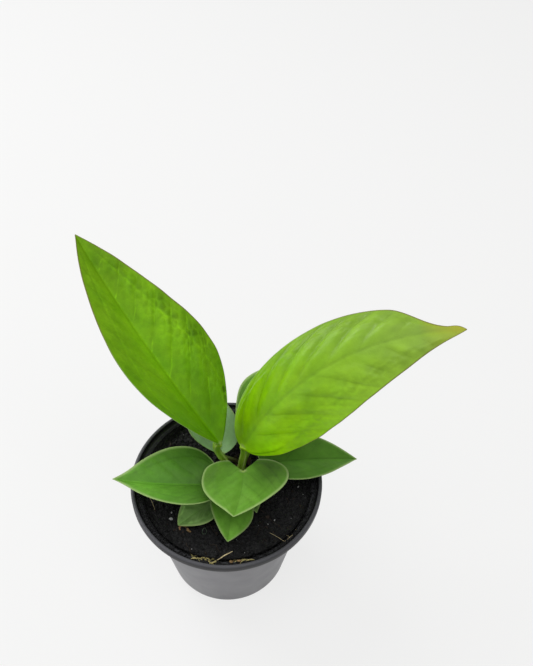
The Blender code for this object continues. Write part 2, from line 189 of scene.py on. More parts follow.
LOOKS = {
    "tall": Look(0.52, 0.20, 0.10, 0.48, 0.46, 0.7, 0.42, 0.08, (
        (0.03, -0.2, 0.26, 1.4, -0.26), (0.52, -0.42, 0.24, 0.35, 0.26), (0.40, 0.30, 0.34, 0.40, 0.12),
        (0.78, -0.15, 0.14, 0.3, -0.16), (0.45, 0.10, 0.50, 0.18, 0.26), (0.50, -0.08, 0.50, 0.14, -0.10),
        (0.10, 0.75, 0.14, 0.3, 0.10), (1.0, 0.0, 0.16, 2.0, -0.16)), busy=(0.3, 1.0)),
    "newest": Look(-0.16, -0.04, -0.26, 0.15, 0.0, 0.6, 0.34, 0.20, (
        (0.00, 0.22, 0.16, 0.24, -0.30), (0.08, -0.55, 0.13, 0.40, 0.55), (0.58, -1.0, 0.36, 0.45, 0.60),
        (0.32, -0.35, 0.16, 0.40, -0.10), (0.55, 0.80, 0.36, 0.35, -0.22)), swell=(1.0, 0.62)),
    "mature": Look(-0.20, -0.26, 0.12, 0.30, 0.0, 1.7, 0.46, 0.20, (
        (0.0, 0.0, 0.28, 2.0, -0.42), (0.60, 0.55, 0.40, 0.5, 0.24), (0.5, -0.8, 0.4, 0.25, -0.20),
        (0.75, 0.0, 0.20, 0.5, 0.25))),
    "heart": Look(-0.22, -0.14, -0.20, 0.25, 0.0, 1.8, 0.46, 0.14, (
        (0.10, 0.55, 0.34, 0.45, -0.55), (0.55, -0.30, 0.28, 0.35, 0.02), (0.05, -0.8, 0.25, 0.3, -0.30))),
    "fresh": Look(-0.22, -0.12, -0.16, 0.20, 0.0, 1.2, 0.46, 0.16, ((0.2, 0.0, 0.25, 2.0, -0.24),)),
    "shaded": Look(-0.26, -0.16, -0.44, 0.20, 0.0, 1.2, 0.46, 0.16, ((0.0, 0.0, 0.30, 2.0, -0.24),)),
    "lowest": Look(0.20, 0.10, 0.22, 0.90, 0.0, 1.4, 0.50, 0.18, (
        (0.45, -0.5, 0.6, 0.5, 0.30), (0.45, 0.6, 0.6, 0.45, -0.20))),
    "greyed": Look(0.10, 0.06, 0.12, 0.10, 0.0, 1.4, 0.66, 0.20, ((0.1, 0.0, 0.3, 2.0, 0.08),)),
    "pale": Look(0.10, 0.0, 0.15, 0.10, 0.0, 0.9, 0.50, 0.20, ((0.0, 0.0, 0.3, 2.0, 0.0),)),
}


# --- settings that a user would change --------------------------------------------------------
def colour(name, description, default):
    """A colour setting."""
    return FloatVectorProperty(
        name=name, description=description, default=default, size=3, subtype="COLOR", min=0.0, max=1.0
    )


def length(name, description, default, low, high):
    """A length setting, in metres."""
    return FloatProperty(
        name=name, description=description, default=default, min=low, max=high, unit="LENGTH"
    )


def amount(name, description, default, low, high):
    """A setting for how many there are."""
    return IntProperty(name=name, description=description, default=default, min=low, max=high)


class AnthuriumSizes(PropertyGroup):
    """Sizes and counts of the fine detail."""

    blade_thickness: length("Blade thickness", "Between the veins of a blade", 0.00045, 0.0002, 0.001)
    keel_depth: length("Keel depth", "Midrib's depth under the base of a tall blade", 0.0012, 0.0, 0.003)
    # The pale margins are painted highlights on the blades' rolled edges.
    margin: FloatProperty(
        name="Margin", description="Width of the pale margins, against their usual width",
        default=1.0, min=0.0, max=3.0,
    )
    net: length("Net", "Size of the cells between the finest veins", 0.0021, 0.0005, 0.01)
    vein_width: length("Vein width", "Width of the line over a side vein", 0.0006, 0.0002, 0.003)
    soil_grain: length("Soil grain", "Height of the lumps of the potting mix", 0.0012, 0.0, 0.004)
    crumbs: amount("Crumbs", "Loose crumbs on the mix", 1500, 1, 4000)
    spill: amount("Spilled crumbs", "Crumbs of mix on the pot's shelf", 900, 1, 3000)
    chips: amount("Bark chips", "Flat chips on the mix", 150, 1, 600)
    grains: amount("White grains", "White grains in the mix", 46, 0, 300)
    fibres: amount("Fibres", "Fine dark root fibres on the mix", 70, 1, 300)
    moss: amount("Moss strands", "Dry moss strands by the rim", 30, 1, 300)


class AnthuriumColours(PropertyGroup):
    """Colours of the plant, the mix, the pot and the stage, linear RGB."""

    tall: colour("Tall leaf", "Blade of the tall left leaf", (0.126, 0.335, 0.002))
    newest: colour("Newest leaf", "Blade of the newest leaf", (0.190, 0.415, 0.001))
    # Partly the newest blade's own paler colour and partly a painted sheen.
    silvery_and_painted_sheen: colour("Silvered half", "Outer half of the newest leaf", (0.225, 0.375, 0.040))
    mature: colour("Mature leaf", "Blade of a grown lower leaf", (0.080, 0.220, 0.018))
    heart: colour("Heart leaf", "Blade of the front leaf", (0.112, 0.270, 0.026))
    # Lightened to make up for the shade that the heart leaf above casts on it: painted light.
    fresh: colour("Fresh leaf", "Blade of the low front leaf", (0.160, 0.390, 0.042))
    shaded: colour("Shaded leaf", "Blade of a leaf in shade", (0.085, 0.220, 0.022))
    # Lightened to make up for the shade of the leaves above it: painted light.
    lowest: colour("Lowest leaf", "Blade of the lowest leaf", (0.172, 0.320, 0.082))
    # The grey bloom is the leaf's own; its lightness partly makes up for the shade of the tall blades
    # above: painted light.
    greyed: colour("Greyed leaf", "Blade with a grey bloom", (0.290, 0.480, 0.230))
    pale: colour("Pale leaf", "Blade of the smallest leaf", (0.170, 0.330, 0.070))
    tip: colour("Leaf tip", "Ripening tip of the newest leaf", (0.420, 0.400, 0.020))
    # The pale margin is a painted highlight on the rolled edge of a blade.
    margin: colour("Pale margin", "Pale line round a blade", (0.300, 0.430, 0.150))
    brown: colour("Brown margin", "Brownish line round the tall blades", (0.180, 0.150, 0.045))
    # Lightened to make up for the shade of the blades over the stalks: painted light.
    stalk: colour("Stalk", "Leaf stalks", (0.230, 0.440, 0.020))
    ridge: colour("Stalk ridge", "Pale ridges along a stalk", (0.460, 0.500, 0.220))
    groove: colour("Stalk groove", "Brownish groove along a stalk", (0.140, 0.120, 0.050))
    sheath: colour("Sheath", "Dry sheaths on the crown", (0.060, 0.038, 0.022))
    mix: colour("Potting mix", "Moist potting mix", (0.0036, 0.0036, 0.0041))
    bark: colour("Bark", "Bark chips", (0.024, 0.016, 0.011))
    grain: colour("White grain", "Grains of expanded mineral", (0.520, 0.520, 0.520))
    straw: colour("Straw", "Dry moss and straw", (0.430, 0.370, 0.150))
    plastic: colour("Pot wall", "Moulded plastic of the pot's wall", (0.222, 0.220, 0.232))
    lip: colour("Pot lip", "Moulded plastic of the lip", (0.078, 0.078, 0.086))
    # Painted shade: the inside of the pot, the shadow under the lip and most of the lip's outer face are
    # drawn in this near black.
    inside: colour("Pot inside", "Stained inside of the pot", (0.009, 0.009, 0.010))
    husk: colour("Husk", "Dried curls of old sheath", (0.240, 0.150, 0.065))
    skin: colour("Shed skin", "Thin ring of shed skin", (0.075, 0.115, 0.075))
    floor: colour("Floor", "Floor and background", (0.905, 0.905, 0.902))


# --- numpy helpers ----------------------------------------------------------------------------
def ease(low, high, value):
    """Smooth step from 0 at low to 1 at high."""
    share = np.clip((value - low) / (high - low), 0.0, 1.0)
    return share * share * (3.0 - 2.0 * share)


def bell(value, width):
    """Bell curve, 1 at zero and near 0 two widths away."""
    return np.exp(-((value / width) ** 2))


def hashed(a, b, seed):
    """A number from 0 to 1 for each pair of whole numbers, the same each run.

    The numbers are multiplied by large odd ones, and their upper bits are folded into the lower.
    """
    mixed = (a.astype(np.int64) * 374761393 + b.astype(np.int64) * 668265263 + seed * 974711) & 0xFFFFFFFF
    mixed = ((mixed ^ (mixed >> 13)) * 1274126177) & 0xFFFFFFFF
    return ((mixed ^ (mixed >> 16)) & 0xFFFFFF) / float(0xFFFFFF)


def noise(x, y, seed):
    """Value noise from -1 to 1: hashed corner values blended smoothly inside each unit square."""
    left, low = np.floor(x), np.floor(y)
    u, v = ease(0.0, 1.0, x - left), ease(0.0, 1.0, y - low)
    near = hashed(left, low, seed) * (1 - u) + hashed(left + 1, low, seed) * u
    far = hashed(left, low + 1, seed) * (1 - u) + hashed(left + 1, low + 1, seed) * u
    return 2.0 * (near * (1 - v) + far * v) - 1.0


def lumpy(x, y, seed, octaves=4):
    """Sum of noise at doubling frequency and halving height."""
    total = np.zeros(np.broadcast(x, y).shape)
    for octave in range(octaves):
        scale = 2.0 ** octave
        total = total + noise(x * scale + 17.3 * octave, y * scale - 9.1 * octave, seed + octave) / scale
    return total


def cell_walls(x, y, seed):
    """How far a place is from the walls between the cells of scattered points."""
    column, row = np.floor(x), np.floor(y)
    first = np.full(np.shape(x), 9.0)
    second = np.full(np.shape(x), 9.0)
    for step_x in (-1, 0, 1):
        for step_y in (-1, 0, 1):
            a, b = column + step_x, row + step_y
            away_x = a + 0.15 + 0.7 * hashed(a, b, seed) - x
            away_y = b + 0.15 + 0.7 * hashed(a, b, seed + 7) - y
            away = np.sqrt(away_x ** 2 + away_y ** 2)
            second = np.minimum(second, np.maximum(first, away))
            first = np.minimum(first, away)
    return second - first


def blisters(x, y, seed):
    """Rounded cells: 0 on the walls between scattered points, rising to 1 inside a cell."""
    return ease(0.0, 0.45, cell_walls(x, y, seed))


def round_turns(sides):
    """Angles evenly spaced round a full turn."""
    return np.arange(sides) * math.tau / sides


def turned(radius, turn, height, axis=(0.0, 0.0)):
    """Points at a radius and a height, turned by an angle round an upright axis."""
    x, y = axis[0] + radius * np.cos(turn), axis[1] + radius * np.sin(turn)
    return np.stack(np.broadcast_arrays(x, y, height + 0.0 * turn), -1)


def unit(vectors):
    """Scale each vector to length one."""
    return vectors / np.maximum(np.linalg.norm(vectors, axis=-1, keepdims=True), 1e-12)


def grid_faces(rows, columns, offset=0, around=False, flip=False):
    """Four-sided faces of a grid, whose points run row by row."""
    across = columns if around else columns - 1
    i, j = np.meshgrid(np.arange(rows - 1), np.arange(across), indexing="ij")
    after = (j + 1) % columns
    corners = np.stack(
        [i * columns + j, (i + 1) * columns + j, (i + 1) * columns + after, i * columns + after], -1
    ).reshape(-1, 4) + offset
    return corners[:, ::-1] if flip else corners


def capped_faces(rows, sides, flip=False):
    """Faces of a tube of rings that is closed by a fan of triangles to a point at either end.

    The two end points come after the rings, the one of the first ring before the other.
    """
    ring = np.arange(sides)
    after = (ring + 1) % sides
    point, last = np.full(sides, rows * sides), (rows - 1) * sides
    fans = (np.stack([ring, after, point], -1), np.stack([ring + last, point + 1, after + last], -1))
    faces = list(grid_faces(rows, sides, around=True, flip=flip))
    for fan in fans:
        faces += list(fan[:, [0, 2, 1]] if flip else fan)
    return faces


def sheet_faces(rows, columns, offset=0, flip=False):
    """Faces of a closed sheet: a grid of points, the same grid again behind it, and the rim."""
    count = rows * columns
    row, column = np.arange(rows), np.arange(columns)
    loop = offset + np.concatenate([
        row * columns,
        (rows - 1) * columns + column[1:],
        row[-2::-1] * columns + columns - 1,
        column[-2:0:-1],
    ])
    loop = loop[::-1] if flip else loop
    after = np.roll(loop, -1)
    rim = np.stack([loop, loop + count, after + count, after], -1)
    front = grid_faces(rows, columns, offset, flip=flip)
    back = grid_faces(rows, columns, offset + count, flip=not flip)
    return front, back, rim


def new_piece(name, points, faces, materials, face_slots=None, marks=None, uv=None):
    """Make a mesh object at the origin from arrays in millimetres, and link it."""
    mesh = bpy.data.meshes.new(name)
    sizes = np.array([len(face) for face in faces], dtype=np.int32)
    flat = np.concatenate([np.asarray(face, dtype=np.int32) for face in faces])
    mesh.vertices.add(len(points))
    mesh.vertices.foreach_set("co", (np.asarray(points, dtype=np.float32) * MM).ravel())
    mesh.loops.add(len(flat))
    mesh.loops.foreach_set("vertex_index", flat)
    mesh.polygons.add(len(sizes))
    mesh.polygons.foreach_set("loop_start", np.concatenate([[0], np.cumsum(sizes)[:-1]]).astype(np.int32))
    mesh.polygons.foreach_set("loop_total", sizes)
    if face_slots is not None:
        mesh.polygons.foreach_set("material_index", np.asarray(face_slots, dtype=np.int32))
    mesh.update(calc_edges=True)
    mesh.validate()
    add_marks(mesh, marks or {})
    if uv is not None:
        layer = mesh.uv_layers.new(name="Surface")
        layer.data.foreach_set("uv", np.asarray(uv, dtype=np.float32)[flat].ravel())
    for material in materials:
        mesh.materials.append(material)
    mesh.shade_smooth()
    piece = bpy.data.objects.new(name, mesh)
    bpy.context.scene.collection.objects.link(piece)
    return piece


def add_marks(mesh, marks):
    """Store named numbers on a mesh's points, for its materials to read."""
    for label, values in marks.items():
        layer = mesh.attributes.new(label, "FLOAT", "POINT")
        layer.data.foreach_set("value", np.asarray(values, dtype=np.float32).ravel())


# --- node helpers -----------------------------------------------------------------------------
class Shader:
    """A Principled material whose nodes are added and wired by short calls."""

    def __init__(self, name, **fixed):
        self.material = bpy.data.materials.new(name)
        self.material.use_nodes = True
        self.nodes = self.material.node_tree.nodes
        self.links = self.material.node_tree.links
        self.surface = self.nodes["Principled BSDF"]
        for socket, value in fixed.items():
            self.surface.inputs[socket.replace("_", " ")].default_value = value

    def put(self, socket, value):
        """Wire a value into a socket, or set it there."""
        if isinstance(value, bpy.types.NodeSocket):
            self.links.new(value, socket)
        elif socket.type == "RGBA":
            socket.default_value = (*value, 1.0)
        else:
            socket.default_value = value

    def node(self, kind, **inputs):
        """Add a node and fill its inputs by name."""
        made = self.nodes.new(kind)
        for label, value in inputs.items():
            self.put(made.inputs[label.replace("_", " ")], value)
        return made

    def place(self):
        """Object coordinates, in metres."""
        return self.nodes.new("ShaderNodeTexCoord").outputs["Object"]

    def mark(self, label):
        """A number stored on the mesh's points."""
        made = self.nodes.new("ShaderNodeAttribute")
        made.attribute_name = label
        return made.outputs["Fac"]

    def grain(self, size, detail=3.0, stretch=(1.0, 1.0, 1.0), rough=0.55):
        """Noise whose features are about size metres across."""
        mapped = self.node("ShaderNodeMapping", Vector=self.place(), Scale=stretch)
        made = self.node(
            "ShaderNodeTexNoise", Vector=mapped.outputs[0], Scale=1.0 / size, Detail=detail, Roughness=rough
        )
        return made.outputs["Fac"]

    def ramp(self, value, low, high, to_low=0.0, to_high=1.0):
        """Carry value from the span low..high to the span to_low..to_high, clamped."""
        made = self.nodes.new("ShaderNodeMapRange")
        for index, number in enumerate((value, low, high, to_low, to_high)):
            self.put(made.inputs[index], number)
        return made.outputs[0]

    def sums(self, kind, one, other):
        """Arithmetic on two values."""
        made = self.nodes.new("ShaderNodeMath")
        made.operation = kind
        self.put(made.inputs[0], one)
        self.put(made.inputs[1], other)
        return made.outputs[0]

    def product(self, one, other):
        """One value times another."""
        return self.sums("MULTIPLY", one, other)

    def blend(self, share, one, other, kind="MIX"):
        """Mix two colours."""
        made = self.nodes.new("ShaderNodeMix")
        made.data_type = "RGBA"
        made.blend_type = kind
        for index, value in ((0, share), (6, one), (7, other)):
            self.put(made.inputs[index], value)
        return made.outputs[2]

    def times(self, colour, factor, shift=(1.0, 1.0, 1.0)):
        """A colour multiplied by a number, its channels shifted."""
        if not isinstance(factor, bpy.types.NodeSocket):
            return self.blend(1.0, colour, tuple(factor * part for part in shift), "MULTIPLY")
        grey = self.node("ShaderNodeCombineColor", Red=factor, Green=factor, Blue=factor).outputs[0]
        return self.blend(1.0, colour, grey, "MULTIPLY")

    def mottled(self, base, size, dark, light, low=0.3, high=0.7, **noise_settings):
        """A colour varied from a dark to a light shade of itself, by noise size metres across."""
        share = self.ramp(self.grain(size, **noise_settings), low, high)
        return self.blend(share, tint(base, dark), tint(base, light))

    def far(self, value, other=0.0):
        """How far one value is from another."""
        return self.sums("ABSOLUTE", self.sums("SUBTRACT", value, other), 0.0)

    def line(self, distance, width, strength):
        """A soft line about width wide: strength on it, falling to nothing at its edge."""
        return self.ramp(distance, 0.25 * width, width, strength, 0.0)

    def net(self, size):
        """Distance to the walls of small cells, on the surface's own coordinates."""
        place = self.nodes.new("ShaderNodeTexCoord").outputs["UV"]
        made = self.nodes.new("ShaderNodeTexVoronoi")
        made.feature = "DISTANCE_TO_EDGE"
        self.put(made.inputs["Vector"], place)
        made.inputs["Scale"].default_value = UV_SPAN * MM / size
        return made.outputs["Distance"]

    def relief(self, height, distance, strength=1.0):
        """Bump by a height from 0 to 1, distance metres deep."""
        made = self.node("ShaderNodeBump", Height=height, Distance=distance, Strength=strength)
        return made.outputs[0]

    def finish(self, colour=None, roughness=None, normal=None):
        """Wire the surface and give the material back."""
        for label, value in (("Base Color", colour), ("Roughness", roughness), ("Normal", normal)):
            if value is not None:
                self.put(self.surface.inputs[label], value)
        return self.material


def tint(base, factor, shift=(1.0, 1.0, 1.0)):
    """A colour made lighter or darker, with its channels shifted."""
    return tuple(min(1.0, channel * factor * part) for channel, part in zip(base, shift))


# --- materials --------------------------------------------------------------------------------
def lamina_colour(made, leaf, colours):
    """The green between the lines: mottled, and multiplied by the tone stored on the mesh.

    The tall blade turns a little bluer towards its tip, and the newest one paler and silvery, partly its
    own colour and partly a painted sheen.
    """
    green = getattr(colours, leaf.green)
    along, tone = made.mark("along"), made.mark("tone")
    patches = made.ramp(made.grain(0.013, 2.0), 0.35, 0.65)
    warm = made.blend(patches, tint(green, 0.94, (0.95, 1, 0.9)), tint(green, 1.06, (1.05, 1, 1.1)))
    fine = made.ramp(made.grain(0.0026), 0.25, 0.75, 0.93, 1.07)
    # The tone holds painted light and shade as well as mottling.
    body = made.times(warm, made.product(fine, tone))
    if leaf.green == "tall":
        outer = made.times(body, 1.05, (1.18, 1.0, 3.0))
        body = made.blend(made.ramp(along, 0.1, 0.55), made.times(body, 0.98), outer)
    if leaf.green == "newest":
        # Towards the tip the newest blade turns paler and silvery: partly its own colour, partly a painted
        # sheen.
        paler_with_painted_sheen = made.blend(1.0, colours.silvery_and_painted_sheen, made.times((1.0, 1.0, 1.0), tone), "MULTIPLY")
        body = made.blend(made.ramp(along, 0.25, 0.85, 0.0, 0.95), body, paler_with_painted_sheen)
    return body


def draw_veins(made, leaf, colours, sizes, body):
    """A colour with the finest net, the cells' walls, the veins and the joint drawn over it.

    Each line comes from its distance in millimetres. Painted shade darkens the valley along the left of the
    midrib.
    """
    look = LOOKS[leaf.green]
    width, thick = sizes.vein_width / MM, 0.35 + 0.007 * leaf.length
    across = made.mark("across")
    body = made.blend(made.ramp(made.net(sizes.net), 0.0, 0.14, 0.12, 0.0), body, made.times(body, 1.22))
    # Painted shade of the valley along the left of the midrib.
    painted_valley_shade = made.line(made.far(across, 1.2 * thick), 2.0 * thick, 0.12)
    body = made.blend(painted_valley_shade, body, made.times(body, 0.84))
    body = made.blend(made.line(made.mark("wall"), 0.9, 0.35 * look.cells), body, made.times(body, 1.35))
    lines = (
        (made.mark("vein"), width, look.vein),
        (made.mark("loop"), 1.6 * width, look.loop),
        (made.far(across), thick, look.rib),
    )
    for distance, reach, strength in lines:
        # A negative strength draws the line darker: painted shade in the sunken vein.
        drawn = made.times(body, 1.7 if strength > 0.0 else 0.5)
        body = made.blend(made.line(distance, reach, abs(strength)), body, drawn)
    return made.blend(made.line(made.mark("seat"), 2.2, 0.5), body, tint(colours.ridge, 0.8))


def draw_edges(made, leaf, colours, sizes, body):
    """A colour with the ripening tip of the newest blade and the line along the margin.

    The pale line is a painted highlight on the rolled margin. The margins of the two tall blades are brown,
    their own colour, and pale only on the left near the base.
    """
    along, across = made.mark("along"), made.mark("across")
    rim = colours.margin
    if leaf.green == "newest":
        ripe = made.product(made.ramp(along, 0.84, 0.97), made.ramp(across, -3.0, 5.0, 0.45, 1.0))
        body = made.blend(ripe, body, colours.tip)
    if leaf.green in ("tall", "newest"):
        pale = made.product(made.ramp(across, -2.0, 2.0), made.ramp(along, 0.35, 0.6, 1.0, 0.0))
        rim = made.blend(pale, colours.brown, colours.margin)
    width = LOOKS[leaf.green].rim * sizes.margin
    # The pale line along the margin is a painted highlight on its rolled edge.
    return made.blend(made.line(made.mark("margin"), width, 0.85), body, rim)


def blade_material(leaf, colours, sizes):
    """Upper face of a blade: its green, the veins over it, and its edges over both."""
    look = LOOKS[leaf.green]
    made = Shader(leaf.name + "_face", Specular_IOR_Level=look.shine, IOR=1.45)
    body = draw_veins(made, leaf, colours, sizes, lamina_colour(made, leaf, colours))
    body = draw_edges(made, leaf, colours, sizes, body)
    rough = made.ramp(made.grain(0.008), 0.3, 0.7, look.gloss - 0.04, look.gloss + 0.06)
    cells = made.product(made.ramp(made.net(sizes.net), 0.0, 0.35), 0.6)
    height = made.sums("ADD", cells, made.product(made.grain(0.0008, 2.0), 0.4))
    return made.finish(body, rough, made.relief(height, 0.00010, 0.5))


def underside_material(leaf, colours):
    """Underside of a blade: paler and duller, with the veins standing out lighter."""
    made = Shader(leaf.name + "_back", Specular_IOR_Level=0.3)
    green = getattr(colours, leaf.green)
    bluer = 2.6 if green[2] < 0.05 else 1.0
    back = tint(green, 1.12, (1.12, 0.92, bluer))
    body = made.mottled(back, 0.004, 0.9, 1.1)
    body = made.blend(made.line(made.mark("vein"), 0.8, 0.55), body, tint(back, 1.5, (1.1, 1.0, 1.2)))
    rib = made.line(made.far(made.mark("across")), 0.5 + 0.009 * leaf.length, 0.8)
    body = made.blend(rib, body, tint(back, 1.6, (1.1, 1.0, 1.1)))
    return made.finish(body, 0.62, made.relief(made.grain(0.0009, 2.0), 0.00012, 0.6))


def stalk_material(colours):
    """Stalks: green with fine lengthwise streaks, pale ridges, and a groove that browns lower down."""
    made = Shader("stalk_skin", Specular_IOR_Level=0.35)
    groove, ridge, foot = made.mark("groove"), made.mark("ridge"), made.mark("foot")
    body = made.mottled(colours.stalk, 0.0009, 0.75, 1.2, stretch=(1.0, 1.0, 0.12))
    brown = made.product(made.ramp(groove, 0.3, 1.0, 0.0, 0.9), made.ramp(foot, 0.0, 0.7, 0.25, 1.0))
    body = made.blend(brown, body, colours.groove)
    body = made.blend(made.ramp(ridge, 0.35, 0.95, 0.0, 0.6), body, colours.ridge)
    body = made.blend(made.mark("top"), body, tint(colours.newest, 0.9, (1.2, 1.0, 1.0)))
    body = made.blend(made.ramp(foot, 0.35, 0.9, 0.0, 0.9), body, tint(colours.sheath, 0.8))
    return made.finish(body, 0.42, made.relief(made.grain(0.0005, 2.0, (1, 1, 0.2)), 0.00010, 0.5))


def crown_material(colours):
    """Crown: corky brown with green places."""
    made = Shader("crown_skin", Specular_IOR_Level=0.3)
    body = made.mottled(colours.sheath, 0.003, 0.5, 1.2, 0.35, 0.65, detail=4.0)
    body = made.blend(made.ramp(made.grain(0.0012), 0.55, 0.75, 0.0, 0.6), body, colours.stalk)
    return made.finish(body, 0.8, made.relief(made.grain(0.0009, 4.0), 0.0004, 0.8))


def mix_material(colours):
    """Potting mix: moist, near black, with brown specks, grey grit and small wet glints."""
    made = Shader("potting_mix", Specular_IOR_Level=0.4)
    body = made.mottled(colours.mix, 0.0014, 0.3, 1.6, detail=4.0)
    clods = made.ramp(made.mark("tone"), 0.55, 1.0, 0.0, 0.7)
    body = made.blend(clods, body, tint(colours.mix, 2.4, (1.1, 1.0, 0.95)))
    specks = made.ramp(made.grain(0.0009, 2.0), 0.72, 0.80, 0.0, 0.5)
    body = made.blend(specks, body, tint(colours.bark, 1.3))
    grit = made.ramp(made.grain(0.0006, 1.0), 0.70, 0.76, 0.0, 0.8)
    body = made.blend(grit, body, tint(colours.grain, 0.14))
    rough = made.ramp(made.grain(0.0012, 2.0), 0.35, 0.65, 0.45, 0.95)
    return made.finish(body, rough, made.relief(made.grain(0.0007, 5.0, rough=0.7), 0.0006, 1.0))


def bit_material(name, base, rough, streak=(1.0, 1.0, 1.0)):
    """Loose bits: one colour varied from bit to bit by its mark, and mottled."""
    made = Shader(name, Specular_IOR_Level=0.35)
    body = made.blend(made.mark("tone"), tint(base, 0.55), tint(base, 1.45))
    spots = made.ramp(made.grain(0.0010, 3.0, streak), 0.45, 0.75, 0.0, 0.6)
    body = made.blend(spots, body, tint(base, 0.5))
    return made.finish(body, rough, made.relief(made.grain(0.0006, 3.0, streak), 0.0002, 0.7))


def plastic_material(colours):
    """Moulded plastic: a satin grey wall, a darker lip, and an inside drawn near black as painted shade.

    The edge of the shelf shows as a paler line in the lip's colour: a painted highlight.
    """
    made = Shader("pot_plastic", Specular_IOR_Level=0.22, IOR=1.5)
    body = made.mottled(colours.plastic, 0.03, 0.97, 1.03, 0.35, 0.65)
    body = made.blend(made.mark("lip"), body, colours.lip)
    # Painted shade inside the pot, in the shadow under the lip and on most of the lip's outer face.
    body = made.blend(made.mark("inside"), body, colours.inside)
    # Painted highlight along the shelf's edge.
    body = made.blend(made.ramp(made.mark("worn"), 0.2, 1.0, 0.0, 0.8), body, colours.lip)
    dust = made.ramp(made.grain(0.0016, 5.0), 0.68, 0.82, 0.0, 0.12)
    body = made.blend(dust, body, tint(colours.plastic, 1.5, (1.05, 1.0, 0.95)))
    lines = made.product(made.grain(0.0011, 2.0, (0.04, 0.04, 1.0)), 0.6)
    height = made.sums("ADD", lines, made.product(made.grain(0.0008, 2.0), 0.4))
    rough = made.ramp(made.grain(0.012, 4.0), 0.3, 0.7, 0.38, 0.48)
    return made.finish(body, rough, made.relief(height, 0.00003, 0.4))


def floor_material(colours):
    """Pale floor: plain for the camera and in reflections, and matt for light and shadow."""
    made = Shader("floor_pale")
    made.nodes.remove(made.surface)
    rays = made.nodes.new("ShaderNodeLightPath").outputs
    seen = made.sums("MAXIMUM", rays["Is Camera Ray"], rays["Is Glossy Ray"])
    seen = made.sums("MAXIMUM", seen, rays["Is Transmission Ray"])
    matt = made.node("ShaderNodeBsdfDiffuse", Color=colours.floor).outputs[0]
    glow = made.node("ShaderNodeEmission", Color=colours.floor).outputs[0]
    mixed = made.nodes.new("ShaderNodeMixShader")
    for index, value in enumerate((made.product(seen, FLOOR_GLOW), matt, glow)):
        made.put(mixed.inputs[index], value)
    made.put(made.nodes["Material Output"].inputs["Surface"], mixed.outputs[0])
    return made.material


# --- blades -----------------------------------------------------------------------------------
def heart_outline(leaf, along, side):
    """Distance along and half width of the flat outline, for shares of the way to the tip.

    The width follows u**blunt * (1 - u)**taper, scaled to its peak, where u runs from the back of
    the lobes to the tip.  Skew shifts the fullness of a half along it.  Close to the midrib the
    back edge turns in to the notch, and a drip draws a margin in just before the tip.  side is
    positive for the left half.
    """
    u = along ** 1.8
    total = leaf.blunt + leaf.taper
    peak = (leaf.blunt / total) ** leaf.blunt * (leaf.taper / total) ** leaf.taper
    width = leaf.half_width * u ** leaf.blunt * (1.0 - u) ** leaf.taper / peak
    drip = np.where(side > 0.0, leaf.drip[0], leaf.drip[1])
    skew = np.where(side > 0.0, leaf.skew[0], leaf.skew[1])
    behind = leaf.lobe * leaf.length
    notch = np.clip(1.0 - width / (0.45 * leaf.half_width), 0.0, 1.0) * (u < 0.5)
    drawn = drip * ease(0.76, 0.93, u) * (1.0 - ease(0.93, 1.0, u))
    width = width * (1.0 - drawn) * (1.0 + skew * np.sin(math.tau * u))
    return u * (leaf.length + behind) - behind * (1.0 - notch ** 2), width


def midrib_frame(leaf, distance):
    """Point, direction, left and up along the midrib, at distances from its base."""
    steps = np.linspace(0.0, 1.0, 241)
    heading = np.radians(leaf.heading + leaf.sway * steps)
    rise = np.radians(leaf.rise + leaf.bend * steps)
    ahead = np.stack([np.cos(rise) * np.cos(heading), np.cos(rise) * np.sin(heading), np.sin(rise)], 1)
    path = np.zeros((241, 3))
    path[1:] = np.cumsum((ahead[1:] + ahead[:-1]) / 2.0, axis=0) * leaf.length / 240.0
    share = np.clip(distance / leaf.length, 0.0, 1.0)
    point = np.stack([np.interp(share, steps, path[:, axis]) for axis in range(3)], -1)
    point = point + np.minimum(distance, 0.0)[..., None] * ahead[0] + np.array(leaf.base)
    heading = np.radians(leaf.heading + leaf.sway * share)
    rise = np.radians(leaf.rise + leaf.bend * share)
    roll = np.radians(leaf.roll + leaf.twist * share)[..., None]
    forward = np.stack(
        [np.cos(rise) * np.cos(heading), np.cos(rise) * np.sin(heading), np.sin(rise)], -1
    )
    level = np.stack([-np.sin(heading), np.cos(heading), np.zeros_like(heading)], -1)
    normal = np.cross(forward, level)
    left = level * np.cos(roll) + normal * np.sin(roll)
    up = normal * np.cos(roll) - level * np.sin(roll)
    return point, forward, left, up


def bend_blade(leaf, along, across):
    """Carry points of the flat blade onto the bent one.

    across is positive to the left.  Each side leaves the midrib at its fold angle and curls evenly
    down from there, so that it follows a circular arc.
    """
    point, _, left, up = midrib_frame(leaf, along)
    fold = np.radians(np.where(across > 0.0, leaf.folds[0], leaf.folds[1]))
    bending = math.radians(leaf.curl) / leaf.half_width
    reach = np.abs(across)
    angle = fold - bending * reach
    sideways = (np.sin(fold) - np.sin(angle)) / bending
    upwards = (np.cos(angle) - np.cos(fold)) / bending
    return point + left * (np.sign(across) * sideways)[..., None] + up * upwards[..., None]


def blade_pattern(leaf, rows, columns):
    """Flat pattern: distance along and across, and the row and column share of each point.

    A row follows one side vein from the midrib to the margin, and bows forward on its way.
    """
    along = np.linspace(0.035, 0.999, rows)[:, None]
    side = np.linspace(-1.0, 1.0, columns)[None, :]
    side = np.sign(side) * np.abs(side) ** 0.9
    margin, width = heart_outline(leaf, along, side)
    start = leaf.length * (0.03 * along + 0.97 * along ** 4)
    start = start + (margin - start) * along ** 8
    distance = start + (margin - start) * np.abs(side) ** 1.25
    return distance, width * side, along + 0.0 * side, side + 0.0 * along


